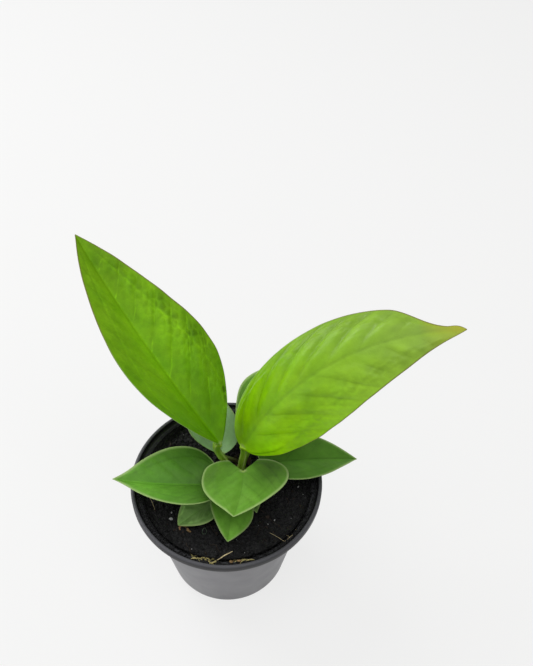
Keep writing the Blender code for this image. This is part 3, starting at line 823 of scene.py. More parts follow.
def vein_count(leaf, distance, across):
    """How many side veins a point has passed: whole numbers lie on a vein.

    A vein leaves the midrib at about 45 degrees and bows forward:
    start = distance - 1.1 |across| - 0.45 across**2 / half width.  The two sides alternate.
    """
    reach = np.abs(across)
    start = distance - 1.1 * reach - 0.45 * reach ** 2 / leaf.half_width
    waver = 1.3 * noise(distance / 23.0, across / 17.0, len(leaf.name))
    waver = waver + 0.6 * noise(distance / 7.0, across / 6.0, len(leaf.name) + 1)
    alternate = np.where(across > 0.0, 0.0, 0.45)
    return (start + waver) * leaf.veins / leaf.length + alternate + FIRST_VEIN


class Lamina:
    """Where each point of a flat blade lies among its veins, its cells and its edges.

    Distances are millimetres.  reach is the distance from the midrib on either side, and width the
    width of that half of the blade there.  tip is 0 at the tip and 1 a little away from it.  apart
    keeps the noise of the two halves from matching.
    """

    def __init__(self, leaf, distance, across, margin):
        self.leaf, self.look = leaf, LOOKS[leaf.green]
        self.seed = len(leaf.name) * 13 + leaf.veins
        self.distance, self.across, self.margin = distance, across, margin
        self.left = across > 0.0
        self.apart = 40.0 * self.left
        self.reach = np.abs(across)
        self.width = margin + self.reach
        self.tip = ease(0.0, 0.16 * leaf.length, leaf.length - distance)
        self.find_veins()
        self.find_loop()
        self.find_cells()

    def find_veins(self):
        """Side veins: step runs square to them, run along them, and ridge swells between two."""
        count = vein_count(self.leaf, self.distance, self.across)
        spacing = self.leaf.length / self.leaf.veins * math.sin(VEIN_SLANT)
        self.vein = np.abs(count - np.round(count)) * spacing
        self.step = (count - FIRST_VEIN) * spacing
        self.run = self.distance * math.cos(VEIN_SLANT) + self.reach * math.sin(VEIN_SLANT)
        self.ridge = np.sin(math.pi * (count - np.floor(count)) ** 0.75)
        self.grown = 0.3 + 0.7 * ease(0.3, 2.2, count - FIRST_VEIN)

    def find_loop(self):
        """The vein inside the margin, what lies outside it, and the lamina clear of the lines."""
        half = self.leaf.half_width
        inner = 0.27 * half * (np.clip(self.width, 0.0, None) / half) ** 0.7 + 1e-6
        self.loop = np.abs(self.margin - inner)
        self.outer = ease(1.15, 0.8, self.margin / inner) * ease(0.0, 4.0, self.reach)
        self.strip = self.outer * ease(0.0, 0.6, self.margin / inner)
        clear = ease(0.2, 2.0 + 0.045 * self.leaf.length, self.reach)
        self.lamina = clear * ease(0.0, 0.8 * inner + 0.2, self.margin) * self.tip * self.grown

    def find_cells(self):
        """Cells of a few millimetres in rows along the veins, and how strong each half's are."""
        size = 3.0 + 0.012 * self.leaf.length
        wall = cell_walls(self.step / size, self.run / (1.25 * size) + self.apart, self.seed)
        self.cell = ease(0.0, 0.5, wall)
        self.busy = np.where(self.left, *self.look.busy)
        self.swell = np.where(self.left, *self.look.swell)
        self.outward = ease(0.15, 0.75, self.reach / np.maximum(self.width, 1e-6)) * self.busy
        self.wall = wall * size * 0.5 + 3.0 * (1.0 - self.lamina * self.outward)


def lamina_height(at):
    """Height over the blade's plane.

    Between two side veins the lamina bulges as a rounded ridge, and small cells sit on it.  The
    loop, the strip outside it and the midrib are sunken, and the margin ripples a little.
    """
    length, quilt = at.leaf.length, at.leaf.quilt
    wave = noise(at.distance / 23.0, at.across / 19.0, at.seed + 3)
    wave = wave + 0.4 * noise(at.distance / 9.0, at.across / 9.0, at.seed + 4)
    bulge = 0.70 * at.swell * at.ridge + at.look.cells * at.cell * at.outward + 0.45 * wave
    height = quilt * at.lamina * bulge
    height = height - 0.18 * min(quilt, 0.5) * bell(at.loop, 1.0) * at.tip * (at.reach > 2.0)
    height = height - 0.3 * at.outer * quilt * ease(0.0, 1.0, at.width / at.leaf.half_width) * at.tip
    height = height - (0.05 + 0.0011 * length) * bell(at.across, 0.7 + 0.006 * length)
    ripple = np.sin(at.distance * 0.21 + 2.0 * np.sign(at.across))
    ripple = ripple + 0.6 * np.sin(at.distance * 0.37 + at.seed)
    wavy = np.where(at.left, 0.05, 0.30) * min(quilt, 1.0)
    return height + wavy * ripple * ease(0.45, 1.0, at.reach / np.maximum(at.width, 1e-6)) * at.tip


def lamina_tone_and_painted_shading(at):
    """How light each place is against the blade's green.

    Painted shade darkens the strip outside the loop and the cells' insides, and painted light makes the
    ridges lighter; mottling of three sizes and the soft patches of the blade's look, partly painted light
    and shade too, come over them.
    """
    share, cells = at.distance / at.leaf.length, at.look.cells
    patch = ease(-0.3, 0.5, noise(at.step / 8.0, at.run / 11.0 + at.apart, at.seed + 9))
    # Painted shade: outside the inner loop, where the blade curves away from the light, it is darkened in
    # patches.
    tone = 1.0 - at.look.painted_band_shade * at.strip * at.busy * (0.2 + 0.8 * at.cell * patch) * at.tip
    # Painted light and shade of the quilting: the cells' insides darkened, the ridges between the veins
    # lightened.
    tone = tone * (1.0 - 0.22 * cells * at.lamina * at.outward * (at.cell - 0.5))
    painted_ridge_light = 0.11 * at.leaf.quilt * at.swell * (at.ridge - 0.6)
    tone = tone * (1.0 + painted_ridge_light * ease(1.0, 6.0, at.reach) * ease(0.0, 3.0, at.margin))
    mottling = ((0.07, 5.0, 7.0, 8), (0.05, 1.8, 13.0, 15), (0.09 * cells + 0.05, 2.6, 2.9, 16))
    for strength, wide, long, seed in mottling:
        spots = noise(at.step / wide, at.run / long + at.apart, at.seed + seed)
        tone = tone * (1.0 + strength * at.busy * spots)
    # The look's soft patches are partly painted light and shade, by how the light falls on each part of the
    # blade, and partly its own colour.
    for along, side, long, wide, strength in at.look.tones:
        off = (at.across / at.leaf.half_width - side) / wide if wide < ALL_ACROSS else 0.0
        tone = tone * (1.0 + strength * np.exp(-((share - along) / long) ** 2 - off ** 2))
    return tone


def lamina_marks(at):
    """The marks that the blade's materials read: shares, distances in millimetres, and tone, which holds
    painted light and shade.

    Where the side veins are hidden, near the margin and in patches, they count as further away.
    """
    faint = at.busy < 1.0
    hidden = 3.0 * (1.0 - ease(0.0, 1.5, at.margin)) + 0.22 * faint
    hidden = hidden + 0.35 * ease(0.0, 0.7, noise(at.run / 12.0, at.step / 9.0 + at.apart, at.seed + 12))
    return {
        "along": at.distance / at.leaf.length,
        "seat": np.hypot(at.distance - 0.6, 0.7 * at.across),
        "across": at.across,
        "margin": at.margin,
        "vein": np.minimum(at.vein + hidden, FAR),
        "loop": np.minimum(at.loop + 3.0 * (1.0 - at.tip) + 0.3 * faint, FAR),
        "wall": at.wall,
        "tone": lamina_tone_and_painted_shading(at),
    }


def surface_normals(points):
    """Unit normals of a grid of points, on the side that forward crossed with left gives."""
    forward = np.gradient(points, axis=0)
    left = np.gradient(points, axis=1)
    return unit(np.cross(forward, left))


def blade_depth(at, sizes, marks):
    """Thickness: less at the margin, more over the veins, and a keel along the midrib."""
    tall = at.leaf.length / LEAVES[0].length
    depth = sizes.blade_thickness / MM * (0.45 + 0.55 * ease(0.0, 1.5, at.margin))
    keel = sizes.keel_depth / MM * (0.35 + 0.65 * tall) * (1.0 - 0.85 * marks["along"])
    depth = depth + keel * bell(at.across, 0.9 + 0.5 * tall) * ease(0.0, 0.6, at.margin)
    return depth + 0.2 * at.leaf.quilt * bell(marks["vein"], 0.8) * ease(0.0, 2.0, at.margin)


def make_blade(leaf, sizes, colours):
    """A closed sheet: the quilted upper face, its underside, and the margin between them."""
    rows = int(np.clip(round(leaf.length * 1.6), 44, 250))
    columns = 2 * int(np.clip(round(leaf.half_width * 1.4), 16, 48)) + 1
    distance, across, along, side = blade_pattern(leaf, rows, columns)
    base = bend_blade(leaf, distance, across)
    normal = surface_normals(base)
    margin = heart_outline(leaf, along, side)[1] * (1.0 - np.abs(side))
    places = Lamina(leaf, distance, across, margin)
    marks = lamina_marks(places)
    top = base + normal * lamina_height(places)[..., None]
    bottom = top - normal * blade_depth(places, sizes, marks)[..., None]
    sheet = sheet_faces(rows, columns)
    slots = np.concatenate([np.full(len(part), slot) for part, slot in zip(sheet, (0, 1, 0))])
    materials = [blade_material(leaf, colours, sizes), underside_material(leaf, colours)]
    both = {label: np.concatenate([values.ravel()] * 2) for label, values in marks.items()}
    spread = np.stack([distance.ravel() / UV_SPAN + 0.1, across.ravel() / UV_SPAN + 0.5], -1)
    points = np.concatenate([top.reshape(-1, 3), bottom.reshape(-1, 3)])
    piece = new_piece(leaf.name, points, np.concatenate(sheet), materials, slots, both,
                      np.concatenate([spread, spread]))
    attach(piece, "root")
    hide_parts(leaf.name + "_blade")


# --- stalks -----------------------------------------------------------------------------------
def stalk_path(leaf, steps):
    """Smooth path from inside the crown's top up to the underside of the blade."""
    seat, forward, left, up = (part[0] for part in midrib_frame(leaf, np.array([STALK_SEAT])))
    dip = leaf.stalk * math.sin(math.radians(max(0.0, -min(leaf.folds))))
    end = seat - up * (SEAT_DEPTH + dip)
    start = np.array([CROWN_AT[0] + leaf.root[0], CROWN_AT[1] + leaf.root[1], CROWN_TOP - 1.0])
    span = np.linalg.norm(end - start)
    lean = (end - start) * np.array([0.6, 0.6, 0.0]) / span
    leave = unit(np.array([0.0, 0.0, 1.0]) + lean)
    arrive = unit(leaf.lean * forward + up)
    first, second = start + leave * 0.4 * span, end - arrive * 0.3 * span
    share = np.linspace(0.0, 1.0, steps + 1)[:, None]
    left_over = 1 - share
    path = left_over ** 3 * start + 3 * left_over ** 2 * share * first
    path = path + 3 * left_over * share ** 2 * second + share ** 3 * end
    return path, left, up


def stalk_frame(leaf, steps):
    """The path of a stalk, with the sideways and onward direction of each of its rings."""
    path, left, up = stalk_path(leaf, steps)
    normal = unit(np.gradient(path, axis=0))
    normal[-1] = up
    sideways = unit(left - normal * (normal @ left)[:, None])
    return path, sideways, np.cross(sideways, normal)


def from_groove(turn, sideways, onward):
    """How far round the stalk each place is from its groove, in radians.

    The groove is turned part of the way from the stalk's inner side to the plant's front.
    """
    middle = len(sideways) // 2
    facing = -onward[middle] + 1.2 * np.array([0.0, -1.0, 0.0])
    toward = math.atan2(facing @ onward[middle], facing @ sideways[middle])
    return np.abs((turn - toward + math.pi) % math.tau - math.pi)


def stalk_marks(leaf, share, turn, away):
    """How far each place is groove, ridge, sheathed foot, and pale top."""
    sheathed = 0.28 if leaf.stalk > 2.0 else 0.85
    bare = 0.3 if leaf.green == "greyed" else 1.0
    young = 1.0 if leaf.green == "newest" else 0.35
    marks = {
        "groove": bell(away, 0.42),
        "ridge": bell(away - 0.75, 0.26),
        "foot": 1.0 - ease(0.0, sheathed, share) * bare,
        "top": ease(0.84, 0.98, share) * young,
    }
    return {label: values + 0.0 * share * turn for label, values in marks.items()}


def make_stalk(leaf, skin):
    """A channelled stalk: a round section with a groove between two ridges.

    It widens into a clasping sheath at its foot and swells into a joint under the blade.
    """
    steps, sides = 54, 28
    path, sideways, onward = stalk_frame(leaf, steps)
    share = np.linspace(0.0, 1.0, steps + 1)[:, None]
    turn = round_turns(sides)[None, :]
    marks = stalk_marks(leaf, share, turn, from_groove(turn, sideways, onward))
    joint = bell(share - 0.97, 0.16)
    section = 1.0 - 0.42 * marks["groove"] * (1.0 - 0.6 * joint) + 0.14 * marks["ridge"]
    radius = leaf.stalk * (1.0 + 0.20 * marks["foot"] ** 2 - 0.05 * share + 0.24 * joint) * section
    radius = radius * (1.0 - 0.5 * ease(0.965, 1.0, share))
    radius = radius * (1.0 + 0.02 * noise(share * 30.0, turn * 2.0, 5))
    rings = (
        path[:, None, :]
        + (radius * np.cos(turn))[..., None] * sideways[:, None, :]
        + (radius * np.sin(turn))[..., None] * onward[:, None, :]
    )
    points = np.concatenate([rings.reshape(-1, 3), path[:1], path[-1:]])
    ends = {label: (0.0, 0.0) for label in marks} | {"top": (0.0, marks["top"][-1, 0])}
    marks = {label: np.concatenate([values.ravel(), ends[label]]) for label, values in marks.items()}
    piece = new_piece(leaf.name + "_stalk", points, capped_faces(steps + 1, sides, flip=True), [skin],
                      None, marks)
    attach(piece, "root")
    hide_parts(leaf.name + "_petiole")


# --- crown ------------------------------------------------------------------------------------
def make_crown(colours):
    """The short stem: a turned stub roughened by rings of leaf scars and cork."""
    rows, sides = 60, 96
    share = np.linspace(0.0, 1.0, rows)[:, None]
    turn = round_turns(sides)[None, :]
    angle = share * math.pi
    scars = 0.35 * np.sin(share * 46.0 + 2.0 * np.sin(turn * 2.0)) * np.sin(angle)
    cork = 0.7 * lumpy(3.0 * np.cos(turn) + 4.0 * share, 3.0 * np.sin(turn) + 2.0, 31)
    radius = (CROWN_RADIUS - 0.8) * np.sin(angle) ** 0.55 + (scars + cork) * np.sin(angle)
    height = CROWN_LOW[2] + (CROWN_TOP + 0.6 - CROWN_LOW[2]) * (0.5 - 0.5 * np.cos(angle))
    height = height + 0.3 * lumpy(2.0 * np.cos(turn) + 9.0, 2.0 * np.sin(turn), 37) * np.sin(angle)
    points = turned(radius, turn, height, CROWN_AT)
    ends = points[[0, -1]].mean(axis=1)
    points = np.concatenate([points[1:-1].reshape(-1, 3), ends])
    faces = capped_faces(rows - 2, sides, flip=True)
    piece = new_piece("crown_stub", points, faces, [crown_material(colours)])
    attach(piece, "root")
    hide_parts("crown")


def make_sheaths(colours):
    """Dry papery sheaths that stand round the crown: narrow tapering strips, bent outwards."""
    rows, columns, thickness = 24, 11, 0.25
    share = np.linspace(0.0, 1.0, rows)[:, None]
    side = np.linspace(-1.0, 1.0, columns)[None, :]
    points, faces, tones = [], [], []
    for number in range(7):
        width = (2.6 + 0.5 * math.sin(number)) * (1.0 - share) ** 0.6
        out = CROWN_RADIUS - 0.4 + (1.2 + 0.8 * math.sin(3 * number)) * share ** 2 * 2.0
        out = out + 0.25 * noise(share * 8.0, side * 2.0 + number, 41)
        turn = number * 2.4 + side * width / CROWN_RADIUS
        height = CROWN_TOP - 3.0 + (7.5 + 2.0 * math.cos(5 * number)) * share
        for depth in (0.0, thickness):
            points.append(turned(out - depth, turn, height, CROWN_AT).reshape(-1, 3))
        offset = 2 * rows * columns * number
        faces += list(np.concatenate(sheet_faces(rows, columns, offset, flip=True)))
        tones.append(np.full(2 * rows * columns, 0.5 + 0.5 * math.sin(7 * number)))
    papery = bit_material("dry_sheath", colours.sheath, 0.7, (1.0, 1.0, 0.15))
    piece = new_piece("crown_sheaths", np.concatenate(points), faces, [papery], None,
                      {"tone": np.concatenate(tones)})
    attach(piece, "root")


# --- potting mix ------------------------------------------------------------------------------
def soil_height(x, y):
    """An uneven surface that sinks a little towards the middle of the pot, in millimetres."""
    dish = SOIL_DISH * (1.0 - (x * x + y * y) / RIM_RADIUS ** 2)
    lumps = 0.35 * np.sin(0.31 * x + 0.7) * np.cos(0.27 * y) + 0.25 * np.sin(0.19 * (x - y))
    return SOIL_TOP - dish + lumps


def grainy_height(x, y, grain):
    """The soil's surface with its lumps and crumbs."""
    coarse = 0.8 * lumpy(x / 7.0, y / 7.0, 51, 3)
    clods = 0.9 * blisters(x / 3.4, y / 3.4, 57) + 0.5 * blisters(x / 1.6 + 3.0, y / 1.6, 59)
    return soil_height(x, y) + grain * (coarse + clods - 0.9)


def ledge_height(x, y, grain):
    """The soil's surface, or the flare and the shelf of the pot where they are higher."""
    start, edge = wall_radius(FLARE) - WALL, SHELF_EDGE - 0.3
    cone = FLARE + (SHELF - FLARE) * (np.hypot(x, y) - start) / (edge - start)
    return np.maximum(grainy_height(x, y, grain), np.minimum(cone, SHELF) + 0.1)


def make_mix(sizes, colours):
    """The body of the potting mix: a lumpy disc with a side that follows the pot's wall.

    At its edge it is no lower than the height at which the wall's inside is that wide.
    """
    rings, sides, levels = 130, 340, 14
    grain = sizes.soil_grain / MM
    turn = round_turns(sides)[None, :]
    top = turned(SOIL_EDGE * np.linspace(0.0, 1.0, rings)[1:, None], turn, 0.0)
    x, y = top[..., 0], top[..., 1]
    against = (np.hypot(x, y) + WALL - 0.5 - BASE_RADIUS) * LIP_FOOT / (SHOULDER_RADIUS - BASE_RADIUS)
    top[..., 2] = np.maximum(grainy_height(x, y, grain), against)
    down = np.linspace(0.0, 1.0, levels)[1:, None]
    radius = SOIL_EDGE + (BASE_RADIUS - WALL - 1.2 - SOIL_EDGE) * down
    side = turned(radius, turn, top[-1, :, 2][None, :] * (1.0 - down) + SOIL_LOW[2] * down)
    rows = np.concatenate([top, side])
    middle = [0.0, 0.0, grainy_height(np.zeros(1), np.zeros(1), grain)[0]]
    points = np.concatenate([rows.reshape(-1, 3), [middle, [0.0, 0.0, SOIL_LOW[2]]]])
    tone = 0.5 + 0.5 * noise(points[:, 0] / 2.2, points[:, 1] / 2.2, 61)
    piece = new_piece("potting_mix", points, capped_faces(len(rows), sides), [mix_material(colours)], None,
                      {"tone": tone})
    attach(piece, "root")
    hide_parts("soil")


def ball(rings, sides):
    """Points and faces of a small closed ball of radius one."""
    share = (np.arange(1, rings) / rings * math.pi)[:, None]
    body = turned(np.sin(share), round_turns(sides)[None, :], np.cos(share))
    points = np.concatenate([body.reshape(-1, 3), [[0, 0, 1.0], [0, 0, -1.0]]])
    return points, capped_faces(rings - 1, sides)


def scatter(name, spots, scales, tones, material, seed, rough=0.25, shape=(5, 7)):
    """Many small rough balls as one piece: each is stretched, turned, dented and set in its spot."""
    draw = np.random.default_rng(seed)
    points, faces = ball(*shape)
    count = len(spots)
    frames = np.linalg.qr(draw.normal(size=(count, 3, 3)))[0]
    dents = 1.0 + rough * draw.uniform(-1.0, 1.0, (count, len(points), 1))
    placed = np.einsum("nij,nkj->nki", frames, points[None] * dents * scales[:, None, :])
    mirrored = np.linalg.det(frames) < 0.0
    every = []
    for index in range(count):
        order = -1 if mirrored[index] else 1
        every += [face[::order] + index * len(points) for face in faces]
    piece = new_piece(name, (placed + spots[:, None, :]).reshape(-1, 3), every, [material], None,
                      {"tone": np.repeat(tones, len(points))})
    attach(piece, "root")


def spread_spots(count, seed, sink, grain, reach=0.97):
    """Spots spread evenly over the mix, off the crown, sunk by a share of a millimetre."""
    draw = np.random.default_rng(seed)
    radius = SOIL_EDGE * reach * np.sqrt(draw.uniform(0.0, 1.0, 3 * count))
    turn = draw.uniform(0.0, math.tau, 3 * count)
    x, y = radius * np.cos(turn), radius * np.sin(turn)
    clear = np.hypot(x - CROWN_AT[0], y - CROWN_AT[1]) > CROWN_RADIUS
    x, y = x[clear][:count], y[clear][:count]
    return np.stack([x, y, grainy_height(x, y, grain) - sink], -1)


def make_crumbs(sizes, draw, grain, crumb):
    """Crumbs on the mix, a few of them large, and finer ones spilled on the pot's shelf."""
    spots = spread_spots(sizes.crumbs, 72, 0.1, grain)
    size = 0.35 + 1.1 * draw.uniform(0.0, 1.0, (len(spots), 1)) ** 2.5
    scales = size * draw.uniform(0.55, 1.15, (len(spots), 3))
    scatter("mix_crumbs", spots, scales, draw.uniform(0, 1, len(spots)), crumb, 73, 0.3, (4, 6))
    turn = draw.uniform(-3.05, 0.2, sizes.spill)
    reach = LIP_INSIDE - 0.6 - 6.0 * draw.uniform(0.0, 1.0, sizes.spill) ** 1.4
    spots = turned(reach, turn, 0.0)
    spots[:, 2] = ledge_height(spots[:, 0], spots[:, 1], grain) + 0.1
    scales = draw.uniform(0.25, 1.0, (len(spots), 1)) * draw.uniform(0.6, 1.1, (len(spots), 3))
    scatter("spilled_mix", spots, scales, draw.uniform(0, 1, len(spots)), crumb, 74, 0.3, (4, 6))


def make_chips(count, draw, grain, bark):
    """Flat chips of bark on the mix."""
    spots = spread_spots(count, 75, 0.2, grain)
    size = draw.uniform(0.7, 2.0, (len(spots), 1))
    scales = size * np.array([[1.0, 0.55, 0.22]]) * draw.uniform(0.8, 1.2, (len(spots), 3))
    scatter("bark_chips", spots, scales, draw.uniform(0, 1, len(spots)), bark, 76, 0.2)


def make_grains(count, draw, grain, white):
    """White grains in the mix: small ones, and the three largest in places of their own.

    The places of the three were first cast through the camera by a separate program.
    """
    spots = spread_spots(count, 78, 0.15, grain)
    size = 0.22 + 0.5 * draw.uniform(0.0, 1.0, (len(spots), 1)) ** 3
    scales = size * draw.uniform(0.8, 1.2, (len(spots), 3))
    tones = draw.uniform(0, 1, len(spots))
    largest = np.array([[-32.7, -26.1, 0.0], [-46.9, 24.6, 0.0], [-30.6, -45.0, 0.0]])
    largest[:, 2] = grainy_height(largest[:, 0], largest[:, 1], grain) + 0.3
    spots = np.concatenate([spots, largest])
    scales = np.concatenate([scales, [[1.3, 1.1, 0.9], [0.8, 0.6, 0.5], [0.6, 0.5, 0.4]]])
    tones = np.concatenate([tones, [0.3, 0.2, 0.2]])
    scatter("white_grains", spots, scales, tones, white, 79, 0.12, (7, 10))


def make_bits(sizes, colours):
    """Crumbs, bark chips and white grains on the mix, all from one run of random draws."""
    grain = sizes.soil_grain / MM
    draw = np.random.default_rng(71)
    make_crumbs(sizes, draw, grain, bit_material("mix_crumb", tint(colours.mix, 1.3), 0.8))
    make_chips(sizes.chips, draw, grain, bit_material("bark_chip", colours.bark, 0.85))
    make_grains(sizes.grains, draw, grain, bit_material("white_grain", colours.grain, 0.9))


def strands(name, paths, radii, tones, material):
    """Thin closed tubes along paths, given as an array strand, point, xyz, as one piece."""
    count, steps, _ = paths.shape
    sides = 5
    turn = round_turns(sides)[:, None]
    along = unit(np.gradient(paths, axis=1))
    across = unit(np.cross(along, np.array([0.13, 0.22, 0.97])))[:, :, None, :]
    other = np.cross(along[:, :, None, :], across)
    taper = 0.35 + 0.65 * np.sin(np.pi * (0.12 + 0.76 * np.linspace(0.0, 1.0, steps)))
    size = np.asarray(radii)[:, None, None, None] * taper[None, :, None, None]
    rings = paths[:, :, None, :] + size * (np.cos(turn) * across + np.sin(turn) * other)
    ring = np.arange(sides)
    tube = list(grid_faces(steps, sides, around=True)) + [ring, steps * sides - 1 - ring]
    every = [face + index * steps * sides for index in range(count) for face in tube]
    piece = new_piece(name, rings.reshape(-1, 3), every, [material], None,
                      {"tone": np.repeat(tones, steps * sides)})
    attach(piece, "root")


def wandering(starts, steps, lengths, lift, seed, grain, curl=1.4, headings=None, limit=SOIL_EDGE - 0.6):
    """Paths that wander over the mix: the heading changes slowly, and the height arches by lift."""
    draw = np.random.default_rng(seed)
    count = len(starts)
    share = np.linspace(0.0, 1.0, steps)[None, :]
    heading = draw.uniform(0.0, math.tau, (count, 1)) if headings is None else headings[:, None]
    heading = heading + curl * draw.normal(size=(count, 1)) * share
    heading = heading + 0.4 * curl * np.sin(share * draw.uniform(3.0, 9.0, (count, 1)) + heading)
    pace = lengths[:, None] / (steps - 1)
    x = starts[:, :1] + np.cumsum(np.cos(heading) * pace, axis=1)
    y = starts[:, 1:2] + np.cumsum(np.sin(heading) * pace, axis=1)
    inside = np.minimum(1.0, limit / np.maximum(np.hypot(x, y), 1e-6))
    x, y = x * inside, y * inside
    arch = lift[:, None] * np.sin(np.pi * share) + 0.15
    return np.stack([x, y, ledge_height(x, y, grain) + arch], -1)


def bowed(ends, steps, bow, grain):
    """A path through a few ground points, each with its height over the mix, eased between them."""
    marks = np.linspace(0.0, 1.0, len(ends))
    share = np.linspace(0.0, 1.0, steps)
    x, y, lift = (np.interp(share, marks, [end[axis] for end in ends]) for axis in range(3))
    x = x + bow * np.sin(share * math.pi * 3.0)
    return np.stack([x, y, soil_height(x, y) + grain + lift], -1)[None]


def make_roots(count, draw, grain, dark):
    """Fine dark root fibres all over the mix."""
    starts = spread_spots(count, 82, 0.0, grain, 0.95)[:, :2]
    count = len(starts)
    paths = wandering(starts, 14, draw.uniform(3, 11, count), draw.uniform(0.0, 0.9, count), 83, grain)
    strands("root_fibres", paths, draw.uniform(0.07, 0.16, count), draw.uniform(0, 1, count), dark)


def make_moss(count, draw, grain, dry):
    """Dry moss in two drifts along the front of the rim."""
    left, right = (-1.97, -1.63), (-1.47, -1.28)
    in_left = draw.uniform(0, 1, count) < 0.66
    angle = np.where(in_left, draw.uniform(*left, count), draw.uniform(*right, count))
    radius = LIP_INSIDE - 1.0 - 5.0 * draw.uniform(0, 1, count)
    headings = angle + 0.5 * math.pi + draw.normal(0.0, 0.30, count)
    lengths = draw.uniform(1.5, 6.5, count)
    starts = np.stack([radius * np.cos(angle), radius * np.sin(angle)], -1)
    starts = starts - 0.5 * lengths[:, None] * np.stack([np.cos(headings), np.sin(headings)], -1)
    paths = wandering(starts, 10, lengths, draw.uniform(0.0, 0.8, count), 85, grain, 0.35, headings,
                      LIP_INSIDE - 0.6)
    strands("moss_strands", paths, draw.uniform(0.14, 0.56, count), draw.uniform(0, 1, count) ** 1.2, dry)


def make_straws(grain, pale):
    """Pale straws, each bowed through three places, with its radius and tone.

    The places were first cast through the camera by a separate program, and some were then moved.
    """
    straws = (
        (((27.6, -34.3, 0.8), (36.9, -40.6, 1.0), (48.5, -28.6, 1.1)), 0.15, 0.45),
        (((37.6, -36.0, 0.8), (40.2, -37.6, 1.0), (44.0, -31.0, 0.9)), 0.12, 0.25),
        (((-2.5, -54.0, 2.2), (1.8, -50.7, 1.8), (6.2, -47.4, 1.0)), 0.34, 0.9),
        (((-47.2, -13.7, 0.8), (-44.4, -17.9, 1.0), (-43.0, -22.0, 0.7)), 0.15, 0.25),
    )
    for number, (ends, radius, tone) in enumerate(straws):
        strands(f"straw_{number + 1}", bowed(ends, 22, 0.12, grain), [radius], [tone], pale)


def make_fibres(sizes, colours):
    """Root fibres, dry moss, straws, husks and shed skin on the mix and the pot's shelf."""
    grain = sizes.soil_grain / MM
    draw = np.random.default_rng(81)
    make_roots(sizes.fibres, draw, grain, bit_material("root_fibre", tint(colours.bark, 1.8), 0.8))
    make_moss(sizes.moss, draw, grain, bit_material("dry_moss", colours.straw, 0.85))
    make_straws(grain, bit_material("pale_straw", tint(colours.straw, 1.2, (1.05, 1.0, 1.4)), 0.75))
    make_husks(colours, grain)


def make_husks(colours, grain):
    """Dried curls of old sheath, and a thin ring of shed skin.

    Each curl has its place, its size, how far it lifts, and the angles that it starts and ends at.
    The places were found in the same way as the straws'.
    """
    curls = (
        (-24.6, -32.4, 2.2, 0.6, 0.5, 3.9),
        (-20.4, -33.4, 1.5, 0.9, 2.4, 5.2),
        (6.6, -54.4, 1.3, 0.5, 1.2, 4.6),
        (10.4, -53.6, 1.0, 0.6, 3.0, 6.0),
    )
    brown = bit_material("dried_husk", colours.husk, 0.8)
    for number, (x, y, size, lift, start, end) in enumerate(curls):
        turn = np.linspace(start, end, 16)
        x, y = x + size * np.cos(turn), y + 0.7 * size * np.sin(turn)
        height = ledge_height(x, y, grain) + 0.3 + lift * np.sin(np.linspace(0, math.pi, 16))
        strands(f"husk_{number + 1}", np.stack([x, y, height], -1)[None], [0.75], [0.6], brown)
    turn = np.linspace(0.0, math.tau, 25)
    x, y = -11.7 + 1.3 * np.cos(turn), -33.8 + 2.0 * np.sin(turn)
    path = np.stack([x, y, grainy_height(x, y, grain) + 0.35], -1)
    strands("shed_skin", path[None], [0.22], [0.5], bit_material("shed_skin", colours.skin, 0.35))


# --- pot --------------------------------------------------------------------------------------
def wall_radius(height):
    """Outer radius of the pot's wall, which widens in a straight line from the base."""
    return BASE_RADIUS + (SHOULDER_RADIUS - BASE_RADIUS) * height / LIP_FOOT


def rounded(corners, cut, steps=4):
    """An open outline with each inner corner replaced by a short bow that cuts it off."""
    points = np.array(corners, dtype=float)
    smooth = [points[0]]
    for before, corner, after in zip(points[:-2], points[1:-1], points[2:]):
        reach = min(cut, 0.45 * np.linalg.norm(corner - before), 0.45 * np.linalg.norm(after - corner))
        enter = corner + unit(before - corner) * reach
        leave = corner + unit(after - corner) * reach
        for share in np.linspace(0.0, 1.0, steps):
            smooth.append((1 - share) ** 2 * enter + 2 * (1 - share) * share * corner + share ** 2 * leave)
    smooth.append(points[-1])
    return np.array(smooth)


def pot_profile():
    """Radius and height round the wall: up the inside, over the lip, and down the outside.

    The plain wall flares out to a narrow shelf, on which the next pot of a stack rests, and a
    rolled lip stands up and out from the shelf.
    """
    corners = [
        (wall_radius(WALL) - WALL - 1.8, WALL),
        (wall_radius(WALL) - WALL, WALL),
        (wall_radius(FLARE) - WALL, FLARE),
        (SHELF_EDGE - 0.3, SHELF),
        (LIP_INSIDE, SHELF),
        (LIP_INSIDE + 0.2, POT_HEIGHT),
        (RIM_RADIUS, POT_HEIGHT),
        (RIM_RADIUS, LIP_FOOT),
        (RIM_RADIUS - 1.5, LIP_FOOT),
        (RIM_RADIUS - 1.6, LIP_FOOT + 1.0),
        (SHELF_EDGE + 0.3, LIP_FOOT + 1.0),
        (wall_radius(FLARE) + 1.4, FLARE + 2.0),
        (wall_radius(FLARE), FLARE - 0.2),
        *[(wall_radius(z), z) for z in np.linspace(FLARE - 8.0, 8.0, 7)],
        (wall_radius(0.0), 0.0),
        (BASE_RADIUS - 3.0, 0.0),
    ]
    return rounded(corners, 1.4)


def drain_cutter():
    """A ring of upright pegs that cut the drain holes through the floor."""
    sides = 32
    ring = np.arange(sides)
    points, faces = [], []
    for number in range(DRAIN_HOLES):
        at = math.tau * number / DRAIN_HOLES
        centre = (DRAIN_CIRCLE * math.cos(at), DRAIN_CIRCLE * math.sin(at))
        points += [turned(DRAIN_RADIUS, round_turns(sides), level, centre) for level in (-2.0, 4.0)]
        offset = 2 * sides * number
        faces += list(grid_faces(2, sides, offset, around=True, flip=True))
        faces += [offset + ring[::-1], offset + sides + ring]
    return new_piece("drain_cutter", np.concatenate(points), faces, [])


